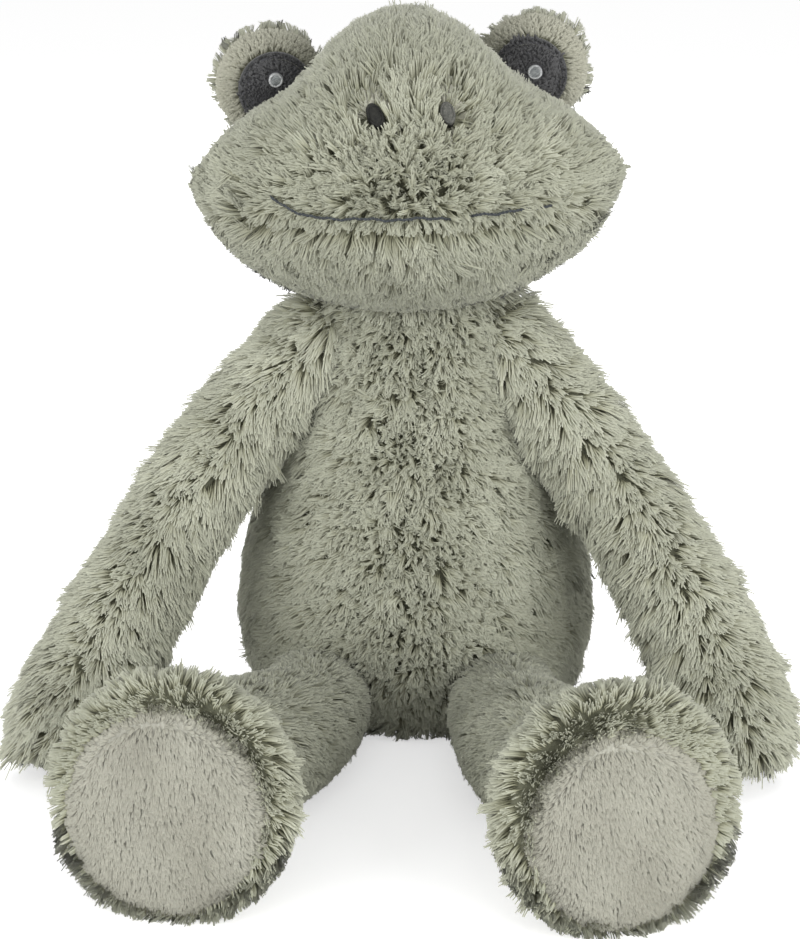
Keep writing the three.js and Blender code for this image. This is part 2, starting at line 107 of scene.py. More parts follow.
class FrogPile(bpy.types.PropertyGroup):
    depth: metres("Pile depth", "How far the cloth lies under the pile tips", 0.0062)
    tufts: bpy.props.FloatProperty(
        name="Tufts per square mm", description="How many tufts grow on a square millimetre", default=0.42)
    strands: bpy.props.IntProperty(
        name="Strands per tuft", description="How many strands make one tuft", default=8)
    width: metres("Strand width", "Width of a strand at its middle", 0.00042)


class FrogFace(bpy.types.PropertyGroup):
    patch_radius: metres("Eye patch radius", "Radius of the dark velour disc", 0.0126)
    highlight_radius: metres("Highlight radius", "Radius of the satin-stitched dot", 0.0023)
    mouth_half: metres("Mouth half length", "Half the length of the mouth line", 0.045)
    thread: metres("Thread width", "Width of the embroidery thread", 0.0005)


class FrogStage(bpy.types.PropertyGroup):
    camera_place: bpy.props.FloatVectorProperty(
        name="Camera place", description="Where the camera stands", default=(0.02138, -0.76972, 0.34),
        subtype="TRANSLATION", unit="LENGTH")
    camera_ahead: bpy.props.FloatVectorProperty(
        name="Camera direction", description="The way the camera looks", default=(-0.0332, 0.9505, -0.309),
        subtype="DIRECTION")
    focal_pixels: bpy.props.FloatProperty(
        name="Focal length", description="Focal length in pixels of the photograph's height", default=2256)


GROUPS = {"frog_pile": FrogPile, "frog_face": FrogFace, "frog_stage": FrogStage}


def settings(kind):
    return getattr(bpy.context.scene, kind)


# Colour and material helpers

def linear(code):
    """An sRGB hex colour as linear RGBA."""
    parts = [int(code[i:i + 2], 16) / 255 for i in (1, 3, 5)]
    return tuple(c / 12.92 if c <= 0.04045 else ((c + 0.055) / 1.055) ** 2.4 for c in parts) + (1.0,)


def node(tree, kind, links=None, **values):
    """Adds a node, sets its values by attribute or socket name, its colour stops, and links its inputs."""
    made = tree.nodes.new(kind)
    for key, value in values.items():
        if key == "stops":
            first, last = made.color_ramp.elements
            first.position, first.color = value[0][0], linear(value[0][1])
            last.position, last.color = value[-1][0], linear(value[-1][1])
            for place, code in value[1:-1]:
                made.color_ramp.elements.new(place).color = linear(code)
        elif hasattr(made, key):
            setattr(made, key, value)
        else:
            made.inputs[key.replace("_", " ")].default_value = value
    for key, source in (links or {}).items():
        tree.links.new(source, made.inputs[key])
    return made


def new_material(name):
    made = bpy.data.materials.new(name)
    made.use_nodes = True
    made.node_tree.nodes.clear()
    return made, made.node_tree


def finish_material(tree, shader):
    node(tree, "ShaderNodeOutputMaterial", {"Surface": shader.outputs[0]})


def finish_cloth(tree, tone, stops, height, strength, deep_mm, **looks):
    """Dyes a cloth by its tone, and raises it by its height, up to deep_mm."""
    colour = node(tree, "ShaderNodeValToRGB", {"Fac": tone}, stops=stops)
    bump = node(tree, "ShaderNodeBump", {"Height": height}, Strength=strength, Distance=deep_mm * MM)
    shader = node(tree, "ShaderNodeBsdfPrincipled",
                  {"Base Color": colour.outputs["Color"], "Normal": bump.outputs["Normal"]}, **looks)
    finish_material(tree, shader)


def pile_material(name, root, middle, tip, dull, rough):
    """Combed polyester pile: each strand's colour runs from a dark root to a pale tip, as painted shade deep in the
    pile and, at the tips, partly painted light. The strand's own map holds its tone across and its height along, so
    every strand has its own dye shade."""
    made, tree = new_material(name)
    place = node(tree, "ShaderNodeUVMap", uv_map="OFBake")
    parts = node(tree, "ShaderNodeSeparateXYZ", {0: place.outputs["UV"]})
    # Colour along the strand: painted shade at the dark root, partly painted light at the pale tip
    along = node(tree, "ShaderNodeValToRGB", {"Fac": parts.outputs["Y"]}, stops=[(0.0, root), *middle, (1.0, tip)])
    tone = node(tree, "ShaderNodeValToRGB", {"Fac": parts.outputs["X"]}, stops=[(0.0, dull), (1.0, "#ffffff")])
    mixed = node(tree, "ShaderNodeMix", {6: along.outputs["Color"], 7: tone.outputs["Color"]},
                 data_type="RGBA", blend_type="MULTIPLY")
    mixed.inputs[0].default_value = 1.0
    # A strand is one thin blade: its stored normal holds for both of its sides
    strand = node(tree, "ShaderNodeNewGeometry")
    turn = node(tree, "ShaderNodeMath", {0: strand.outputs["Backfacing"]}, operation="MULTIPLY_ADD")
    turn.inputs[1].default_value, turn.inputs[2].default_value = -2.0, 1.0
    turned = node(tree, "ShaderNodeVectorMath", {0: strand.outputs["Normal"], "Scale": turn.outputs[0]},
                  operation="SCALE")
    shader = node(tree, "ShaderNodeBsdfPrincipled", {"Base Color": mixed.outputs[2], "Normal": turned.outputs[0]},
                  Roughness=rough, Sheen_Weight=0.15, Sheen_Roughness=0.6, Specular_IOR_Level=0.25)
    finish_material(tree, shader)
    return made


def knit_material(name, dark, light, loop_mm, rough):
    """Knitted backing cloth: a fine grid of loops seen as a mottle and a small bump."""
    made, tree = new_material(name)
    place = node(tree, "ShaderNodeTexCoord").outputs["Object"]
    loops = node(tree, "ShaderNodeTexVoronoi", {"Vector": place}, Scale=1 / (loop_mm * MM))
    cloud = node(tree, "ShaderNodeTexNoise", {"Vector": place}, Scale=1 / (9 * MM), Detail=4.0)
    finish_cloth(tree, cloud.outputs["Fac"], [(0.3, dark), (0.7, light)], loops.outputs["Distance"], 0.5, 0.4,
                 Roughness=rough)
    return made


def nap_material(name, dark, light, wide_mm, tall_mm, rough):
    """Short sheared pile: its nap lies one way, so it shows as fine streaks along it."""
    made, tree = new_material(name)
    place = node(tree, "ShaderNodeTexCoord").outputs["Object"]
    laid = node(tree, "ShaderNodeMapping", {"Vector": place},
                Scale=(1 / (wide_mm * MM), 1 / (wide_mm * MM), 1 / (tall_mm * MM)))
    streaks = node(tree, "ShaderNodeTexNoise", {"Vector": laid.outputs["Vector"]}, Scale=1.0, Detail=3.0,
                   Roughness=0.65)
    cloud = node(tree, "ShaderNodeTexNoise", {"Vector": place}, Scale=1 / (16 * MM), Detail=3.0)
    both = node(tree, "ShaderNodeMath", {0: streaks.outputs["Fac"], 1: cloud.outputs["Fac"]}, operation="ADD")
    half = node(tree, "ShaderNodeMath", {0: both.outputs[0]}, operation="MULTIPLY")
    half.inputs[1].default_value = 0.5
    finish_cloth(tree, half.outputs[0], [(0.32, dark), (0.66, light)], streaks.outputs["Fac"], 0.8, 0.6,
                 Roughness=rough, Sheen_Weight=0.3, Sheen_Roughness=0.5)
    return made


def thread_material(name, dark, light, rough):
    """Rayon embroidery thread: filaments with a soft lustre and a fine mottled grain."""
    made, tree = new_material(name)
    place = node(tree, "ShaderNodeTexCoord").outputs["Object"]
    grain = node(tree, "ShaderNodeTexNoise", {"Vector": place}, Scale=1 / (0.8 * MM), Detail=2.0).outputs["Fac"]
    finish_cloth(tree, grain, [(0.3, dark), (0.7, light)], grain, 0.4, 0.1, Roughness=rough)
    return made


FINISHES = {
    # Polyester long-pile plush, cut, tipped and combed in tufts: its colour runs from deep olive-grey roots, painted
    # shade deep in the pile, to matt pale tips, partly painted light, so partings and gaps between tufts read as
    # dark slots
    "combed_long_pile": (pile_material, "#67674b", [(0.35, "#9a9a7e"), (0.65, "#b6b7a0")], "#c5c7b4",
                         "#d6d6d3", 0.75),
    # The same plush sheared short round the eyes: its tips stand close, so it looks smooth; its colours are set
    # paler than the long pile's as painted light for the shallow pile, and still darken to the roots as painted
    # shade
    "short_ring_pile": (pile_material, "#9a9a85", [(0.4, "#b4b4a0")], "#c9c9b8", "#dad8d5", 0.8),
    # Polyester velour, knitted and sheared: its colour runs from near-black roots, painted shade deep in the nap, to
    # grey tips, partly painted light, for a soft bloom
    "velour_nap": (pile_material, "#202021", [(0.5, "#3c3c3d")], "#69696a", "#9c9c9c", 0.55),
    # Short polyester plush, brushed one way: an even warm grey with fine streaks along the nap, darker towards the
    # roots as painted shade deep in the nap
    "sole_nap": (pile_material, "#98978a", [(0.4, "#aaa99b")], "#b9b8aa", "#dedddb", 0.8),
    # Knitted polyester backing of the plush, only seen between tufts: matt, 0.9 mm loops, its dark colour painted
    # shade between the tufts
    "knitted_backing": (knit_material, "#5b5c4b", "#737461", 0.9, 0.95),
    # The cloth under each nap: the same dyes a shade deeper, streaked the way the pile is brushed
    "sole_plush": (nap_material, "#8d8c81", "#b4b3a6", 0.7, 3.5, 0.9),
    "eye_velour": (nap_material, "#2c2c2e", "#4b4b4f", 0.5, 1.6, 0.7),
    # Rayon embroidery thread, trilobal and laid in satin stitch: a soft silk lustre along the thread. The
    # muzzle's black thread is worn matt by the pile round it; its 0.8 mm grain is drawn coarse enough to show
    "slate_rayon": (thread_material, "#484945", "#6b6b64", 0.6),
    "mouth_rayon": (thread_material, "#23272a", "#3d4246", 0.6),
    "dark_rayon": (thread_material, "#2b2c2d", "#4a4b4c", 0.45),
    "muzzle_rayon": (thread_material, "#10110e", "#252520", 0.8),
    "pale_rayon": (thread_material, "#b4b6b6", "#dcdede", 0.4),
    "grey_rayon": (thread_material, "#85898a", "#a7abab", 0.4),
}
MATERIALS = {}


def material(name):
    """Each finish is made once, the first time a piece asks for it."""
    if name not in MATERIALS:
        maker, *looks = FINISHES[name]
        MATERIALS[name] = maker(name, *looks)
    return MATERIALS[name]


# Geometry helpers

def rotation(axis, degrees):
    return Quaternion(axis, math.radians(degrees))


HEAD_ON_NECK = rotation((0, 1, 0), -HEAD["lean"]) @ rotation((0, 0, 1), HEAD["turn"])
HEAD_POSE = HEAD_ON_NECK @ rotation((1, 0, 0), -HEAD["pitch"])
NECK = Vector((0, TORSO["neck_y"], TORSO["neck"]))
HEAD_MIDDLE = np.array(HEAD_ON_NECK @ (Vector(HEAD["middle"]) - NECK) + NECK)
HEAD_TURN = np.array(HEAD_POSE.to_matrix())


def from_head(points):
    return np.asarray(points, float) @ HEAD_TURN.T + HEAD_MIDDLE


def to_head(points):
    return (np.asarray(points, float) - HEAD_MIDDLE) @ HEAD_TURN


def unit(v):
    return v / (np.linalg.norm(v, axis=-1, keepdims=True) + 1e-12)


def around(count):
    """Even angles once round."""
    return np.linspace(0, 2 * np.pi, count, endpoint=False)


def polar(radius, angle):
    return radius * np.cos(angle), radius * np.sin(angle)


class Spot:
    """A place in millimetres with its own directions: facing, and across and over flat on it."""

    def __init__(self, middle, facing, lean=0.0):
        across = unit(np.cross(facing, [0, 0, 1.0]))
        over = np.cross(across, facing)
        x, y = polar(1, math.radians(lean))
        self.middle, self.facing = middle, facing
        self.across, self.over = x * across + y * over, x * over - y * across

    def at(self, x, y, ahead):
        """Places in millimetres that lie x across, y over and some way ahead."""
        x, y, ahead = (np.asarray(v, float)[..., None] for v in (x, y, ahead))
        return self.middle + x * self.across + y * self.over + ahead * self.facing

    def seen(self, points):
        """How far ahead points in metres lie, and their way from the middle flat on the facing."""
        p = points / MM - self.middle
        ahead = p @ self.facing
        return ahead, p - ahead[:, None] * self.facing

    def matrix(self):
        """Brings here a piece that is drawn flat at the world's middle."""
        made = np.eye(4)
        made[:3] = np.stack([self.across, self.over, self.facing, self.middle * MM], 1)
        return Matrix(made)


def spline(points, count=400, centripetal=False):
    """A smooth line through points, as an array of count places."""
    p = np.asarray(points, float)
    p = np.vstack([2 * p[0] - p[1] if centripetal else p[0], p, 2 * p[-1] - p[-2] if centripetal else p[-1]])
    out = []
    spans = len(p) - 3
    for i in range(spans):
        p0, p1, p2, p3 = p[i:i + 4]
        if centripetal:
            d0, d1, d2 = (max(np.linalg.norm(b - a) ** 0.5, 1e-6) for a, b in ((p0, p1), (p1, p2), (p2, p3)))
            t1 = ((p1 - p0) / d0 - (p2 - p0) / (d0 + d1) + (p2 - p1) / d1) * d1
            t2 = ((p2 - p1) / d1 - (p3 - p1) / (d1 + d2) + (p3 - p2) / d2) * d1
        else:
            t1, t2 = (p2 - p0) / 2, (p3 - p1) / 2
        t = np.linspace(0, 1, count // spans + 1)[:, None]
        if i + 1 < spans:
            t = t[:-1]
        out.append(p1 + t1 * t + (-3 * p1 + 3 * p2 - 2 * t1 - t2) * t ** 2
                   + (2 * p1 - 2 * p2 + t1 + t2) * t ** 3)
    return np.vstack(out)


def line_length(line):
    return np.linalg.norm(np.diff(line, axis=0), axis=1).sum()


def by_length(line, count):
    """The same line as count places at even lengths."""
    steps = np.concatenate([[0], np.cumsum(np.linalg.norm(np.diff(line, axis=0), axis=1))])
    even = np.linspace(0, steps[-1], count)
    return np.stack([np.interp(even, steps, line[:, k]) for k in range(line.shape[1])], 1)


def head_reach(length, curve, share):
    power, close = curve
    return length * np.maximum(1 - share ** power, 0) ** close


def crown_reach(length, share):
    """The crown's height, with a low saddle in front of each pod and a swell beside it."""
    rounded = (np.hypot(share, CROWN_TOP) - CROWN_TOP) / (np.hypot(1, CROWN_TOP) - CROWN_TOP)
    saddle, swell = (deep * np.exp(-((share - at) / wide) ** 2)
                     for deep, at, wide in ((0.065, 0.53, 0.14), (0.09, 0.87, 0.1)))
    return head_reach(length, CROWN_CURVE, rounded) * (1 - saddle + swell)


def head_section(share, above, ahead, wall=0):
    """The head's height and depth from its middle, at a share of its half width and a wall in."""
    high = np.where(above, crown_reach(HEAD["crown"] - wall, share),
                    head_reach(HEAD["chin"] - wall, CHIN_CURVE, share))
    deep = np.where(ahead, head_reach(HEAD["muzzle"] - wall, ROUND_CURVE, share),
                    head_reach(HEAD["back"] - wall, ROUND_CURVE, share))
    return high, deep


def sink_grid(grid, wall):
    """Moves a closed grid of points inwards along its normals, and keeps its rings in order."""
    turned = np.roll(grid, -1, axis=1) - np.roll(grid, 1, axis=1)
    normals = unit(np.cross(np.gradient(grid, axis=0), turned))
    if ((grid - grid.mean((0, 1))) * normals).sum() < 0:
        normals = -normals
    centre = grid.mean(axis=1, keepdims=True)
    axis = unit(grid[-1].mean(axis=0) - grid[0].mean(axis=0))
    sunk = grid - normals * wall
    along = (sunk - grid[0].mean(axis=0)) @ axis
    mean = along.mean(axis=1)
    half = len(mean) // 2
    mean[:half] = np.minimum.accumulate(mean[:half][::-1])[::-1]
    mean[half:] = np.maximum.accumulate(mean[half:])
    sunk += (mean - along.mean(axis=1))[:, None, None] * axis
    flat, old = sunk - centre, grid - centre
    flat -= (flat @ axis)[..., None] * axis
    old -= (old @ axis)[..., None] * axis
    crossed = (flat * old).sum(-1) <= 0
    sunk[crossed] -= (flat - old * 0.02)[crossed]
    return sunk


def torso_grid(wall):
    """The pear-shaped body from its seat to its neck, a wall in from the pile tips."""
    half = TORSO["width"] / 2 - wall
    bottom = wall * 0.55
    outline = spline([(r * half, bottom + z * (TORSO["neck"] - bottom)) for r, z in TORSO["shares"]])
    neck = TORSO["neck_radius"] - wall
    dome = [(neck * math.cos(a), TORSO["neck"] + neck * 0.25 * math.sin(a))
            for a in np.linspace(0.35, math.pi / 2, 8)]
    line = by_length(np.vstack([[(0.4, bottom)], outline, dome]), 56)
    line[-1, 0] = 0.4
    a = around(72)
    depth = (TORSO["depth"] / 2 - wall) / half
    r, z = line[:, :1], line[:, 1:]
    return np.stack([r * np.sin(a), -r * np.cos(a) * depth + TORSO["middle_y"], z + 0 * a], -1) * MM


def head_grid(wall):
    """The lemon-shaped head: rings from side point to side point, sunk under the pile tips."""
    cosine = np.cos(np.linspace(0.02, math.pi - 0.02, 60))[:, None]
    ahead, above = polar(1, around(72)[None, :])
    high, deep = head_section(np.abs(cosine), above > 0, ahead > 0)
    grid = np.stack([HEAD["width"] / 2 * cosine + 0 * ahead, -ahead * deep, above * high], -1)
    return from_head(sink_grid(grid, wall)) * MM


def limb_outline(limb, length):
    """A limb's radius against the way along it."""
    return spline([(r * LIMBS[limb]["radius"], a * length) for r, a in LIMBS[limb]["shares"]])


def limb_line(limb, side):
    """Places along a limb's middle and the way it runs at each."""
    line = by_length(spline(LIMBS[limb]["bends"][side], centripetal=True), 60)
    return line, unit(np.gradient(line, axis=0))


def run_at(root, limb, side):
    """The way a limb runs where a root in metres stands on it."""
    line, runs = limb_line(limb, side)
    return runs[np.linalg.norm(root[:, None] / MM - line[None], axis=2).argmin(1)]


def limb_grid(limb, side, end_wall, rows, columns):
    """A round limb along its bends, sunk under the pile tips and closed at both ends."""
    line = spline(LIMBS[limb]["bends"][side], centripetal=True)
    length = line_length(line)
    end = length - end_wall
    outline = limb_outline(limb, length)
    outline[:, 0] = np.maximum(outline[:, 0] - LIMB_WALL, 0.5)
    outline = outline[outline[:, 1] <= end - LIMB_CORNER]
    last = outline[-1, 0]
    corner = [(last - LIMB_CORNER * (1 - math.cos(a)), end - LIMB_CORNER + LIMB_CORNER * math.sin(a))
              for a in np.linspace(0.25, math.pi / 2, 5)]
    outline = by_length(np.vstack([[(0.4, 0)], outline, corner, [(0.4, end)]]), rows)
    along = by_length(line, 400)

    def at_rings(values):
        places = np.linspace(0, length, len(values))
        return np.stack([np.interp(outline[:, 1], places, values[:, k]) for k in range(3)], 1)

    middle, ahead = at_rings(along), unit(at_rings(unit(np.gradient(along, axis=0))))
    side_way = unit(np.cross(ahead, [0, 0, 1]))
    over = np.cross(side_way, ahead)
    a = around(columns)[None, :, None]
    r = outline[:, 0][:, None, None]
    return (middle[:, None] + r * (np.cos(a) * side_way[:, None] + np.sin(a) * over[:, None])) * MM


def pod_spot(side):
    """The middle of an eye pod and the way it faces."""
    facing = HEAD_POSE @ (rotation((0, 0, 1), -side * POD["turn_in"]) @ (
        rotation((1, 0, 0), POD["turn_down"]) @ Vector((0, -1, 0))))
    middle = from_head([side * POD["side"], POD["behind"], POD["above"]]) + POD["shift"][side]
    return Spot(middle, np.array(facing))


def pod_grid(side, sink_rim, sink_front):
    """A flattened round pod that faces along its own line."""
    turn = np.linspace(0.03, math.pi - 0.03, 26)[:, None]
    x, y = polar((POD["radius"] - sink_rim) * np.sin(turn) ** 0.8, around(40))
    return pod_spot(side).at(x, y, -(POD["thickness"] / 2 - sink_front) * np.cos(turn)) * MM


def put(name, data, finish=None):
    """A new object in the scene, in its finish."""
    made = bpy.data.objects.new(name, data)
    bpy.context.collection.objects.link(made)
    if finish:
        data.materials.append(material(finish))
    return made


def tube_faces(base, rows, columns):
    """Faces of a tube of rings, closed at both ends; base is the number of its first point."""
    at = base + np.arange(rows * columns).reshape(rows, columns)
    turned = np.roll(at, -1, axis=1)
    around_it = np.stack([at[:-1], turned[:-1], turned[1:], at[1:]], -1).reshape(-1, 4)
    return [*around_it.tolist(), at[0, ::-1].tolist(), at[-1].tolist()]


def closed_mesh(name, points, faces, finish):
    """A closed piece, its faces turned outwards and shaded smooth."""
    mesh = bpy.data.meshes.new(name)
    body = bmesh.new()
    corners = [body.verts.new(p) for p in points]
    for face in faces:
        body.faces.new([corners[k] for k in face])
    bmesh.ops.recalc_face_normals(body, faces=body.faces)
    body.to_mesh(mesh)
    body.free()
    for face in mesh.polygons:
        face.use_smooth = True
    return put(name, mesh, finish)


def closed_skin(name, grid):
    # The backing's dark colour is painted shade seen between the tufts
    return closed_mesh(name, grid.reshape(-1, 3), tube_faces(0, *grid.shape[:2]), "knitted_backing")


def points_of(mesh):
    co = np.empty(len(mesh.vertices) * 3)
    mesh.vertices.foreach_get("co", co)
    return co.reshape(-1, 3)


def set_points(mesh, points):
    mesh.vertices.foreach_set("co", points.ravel())
    mesh.update()


def inflate(obj, cap, pressure=3.0, frames=16):
    """Stuffs a skin: a short cloth run under pressure, with each point's move capped, then applied."""
    before = points_of(obj.data)
    bpy.ops.object.select_all(action="DESELECT")
    bpy.context.view_layer.objects.active = obj
    obj.select_set(True)
    cloth = obj.modifiers.new("Stuffing", "CLOTH")
    cloth.settings.quality = 4
    cloth.settings.mass = 0.2
    cloth.settings.tension_stiffness = 20
    cloth.settings.compression_stiffness = 20
    cloth.settings.bending_stiffness = 0.6
    cloth.settings.use_pressure = True
    cloth.settings.uniform_pressure_force = pressure
    cloth.settings.effector_weights.gravity = 0
    cloth.collision_settings.use_collision = False
    scene = bpy.context.scene
    cloth.point_cache.frame_start, cloth.point_cache.frame_end = 1, frames
    for f in range(1, frames + 1):
        scene.frame_set(f)
    bpy.ops.object.modifier_apply(modifier=cloth.name)
    scene.frame_set(1)
    move = points_of(obj.data) - before
    size = np.linalg.norm(move, axis=1, keepdims=True)
    set_points(obj.data, before + move * np.minimum(1, cap / np.maximum(size, 1e-9)))


SKINS = {}


def sew_skin(name, grid, body, nodes):
    """One stuffed skin of backing cloth, which stands for its solids and carries the pile."""
    skin = closed_skin(name, grid)
    inflate(skin, 0.8 * MM)
    SKINS[name] = points_of(skin.data).reshape(grid.shape)
    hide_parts(*nodes)
    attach(skin, body)


# How deep points in metres lie in which form, in millimetres

def in_torso(points):
    half = TORSO["width"] / 2 - COVER
    outline = spline([(r * half, z * TORSO["neck"]) for r, z in TORSO["shares"]])
    p = points / MM
    reach = np.interp(p[:, 2], outline[:, 1], outline[:, 0], left=0, right=0)
    depth = (TORSO["depth"] / 2 - COVER) / half
    return reach - np.hypot(p[:, 0], (p[:, 1] - TORSO["middle_y"]) / depth)


def in_head(points):
    x, y, z = to_head(points / MM).T
    share = np.clip(np.abs(x) / (HEAD["width"] / 2 - COVER), 0, 1)
    high, deep = (reach + 1e-6 for reach in head_section(share, z > 0, y < 0, COVER))
    return (1 - np.hypot(y / deep, z / high)) * np.minimum(high, deep)


def in_limb(points, limb, side):
    line, _ = limb_line(limb, side)
    length = line_length(line)
    outline = limb_outline(limb, length)
    reach = np.interp(np.linspace(0, length, len(line)), outline[:, 1], outline[:, 0]) - COVER
    away = np.linalg.norm((points / MM)[:, None] - line[None], axis=2)
    return (reach[None] - away).max(1)


def uncovered(root, piece):
    """Roots of a piece that no neighbour and not the ground covers."""
    shown = root[:, 2] > LOWEST_ROOT.get(piece, 0) * MM
    for neighbour, deep in CARRIED_ON[piece].items():
        if neighbour in LIMBS:
            for side in SIDE_NAMES:
                shown &= in_limb(root, neighbour, side) <= deep
        else:
            shown &= (in_torso if neighbour == "torso" else in_head)(root) < deep
    return shown


# The pile

def cloudy(points, size, seed):
    """Smooth noise over space, about -1 to 1, with blotches of about the given size."""
    rng = np.random.default_rng(seed)
    total = np.zeros(len(points))
    for _ in range(7):
        wave = unit(rng.normal(size=3)) * 2 * np.pi / (size * rng.uniform(0.7, 1.6))
        total += np.sin(points @ wave + rng.uniform(0, 6.3))
    return total / 2.6


def tousle(count, seed):
    """A direction at random for each tuft, for pile that was never combed flat."""
    return unit(np.random.default_rng(seed).normal(size=(count, 3)))


def strand_mesh(name, points, shade, lock, finish):
    """A mesh of separate blades, narrow at the root and cut blunt at the tip, shaded as round locks."""
    n = len(points)
    mesh = bpy.data.meshes.new(name)
    order = np.array([0, 1, 2, 2, 1, 3, 4])
    mesh.vertices.add(n * 5)
    mesh.vertices.foreach_set("co", points.astype(np.float32).ravel())
    mesh.loops.add(n * 7)
    mesh.loops.foreach_set("vertex_index", ((np.arange(n) * 5)[:, None] + order).ravel().astype(np.int32))
    mesh.polygons.add(n * 2)
    mesh.polygons.foreach_set("loop_start", ((np.arange(n) * 7)[:, None] + [0, 3]).ravel().astype(np.int32))
    mesh.update(calc_edges=True)
    mesh.polygons.foreach_set("use_smooth", np.ones(n * 2, bool))
    # The map: the strand's own shade across, a hair wide so that it has an area, and its height along
    uv = np.empty((n, 7, 2))
    uv[..., 0] = np.clip(shade, 0.02, 0.98)[:, None] + 0.004 * np.array([0, -1, 1, 1, -1, -1, 1])
    uv[..., 1] = 0.01 + 0.98 * np.array(BANDS)[[0, 1, 1, 1, 1, 2, 2]]
    mesh.uv_layers.new(name="OFBake").data.foreach_set("uv", uv.astype(np.float32).ravel())
    own = np.empty(n * 15)
    mesh.vertices.foreach_get("normal", own)
    mixed = unit(own.reshape(n, 5, 3) * 0.35 + lock[:, None] * 0.65)
    mesh.normals_split_custom_set_from_vertices(mixed.reshape(-1, 3).tolist())
    return put(name, mesh, finish)


def scatter(grid, tufts, rng, outward):
    """Even random roots on a skin's grid, tufts to the square metre, and its normals there."""
    columns = grid.shape[1]
    nxt = np.roll(grid, -1, axis=1)
    area = np.linalg.norm(np.cross(nxt[1:] - grid[:-1], grid[1:] - nxt[:-1]), axis=2).ravel() / 2
    normals = unit(np.cross(np.gradient(grid, axis=0), (nxt - np.roll(grid, 1, axis=1)) / 2))
    away = grid - grid.mean((0, 1)) if outward is None else outward
    if (away * normals).sum() < 0:
        normals = -normals
    total = int(area.sum() * tufts)
    gap = 1 / math.sqrt(tufts)
    up_cuts, side_cuts = (max(1, round(np.median(np.linalg.norm(step, axis=2)) / gap))
                          for step in (np.diff(grid, axis=0), nxt - grid))
    fine = np.repeat(np.repeat(area.reshape(-1, columns), up_cuts, 0), side_cuts, 1).ravel()
    where = np.cumsum(fine) / fine.sum()
    cell = np.minimum(np.searchsorted(where, (np.arange(total) + rng.random(total)) / total), len(fine) - 1)
    row, column = cell // (columns * side_cuts), cell % (columns * side_cuts)
    i, j = row // up_cuts, column // side_cuts
    k = (j + 1) % columns
    s = ((row % up_cuts + rng.random(total)) / up_cuts)[:, None]
    t = ((column % side_cuts + rng.random(total)) / side_cuts)[:, None]

    def between(g):
        return (g[i, j] * (1 - s) + g[i + 1, j] * s) * (1 - t) + (g[i, k] * (1 - s) + g[i + 1, k] * s) * t

    return between(grid), unit(between(normals))


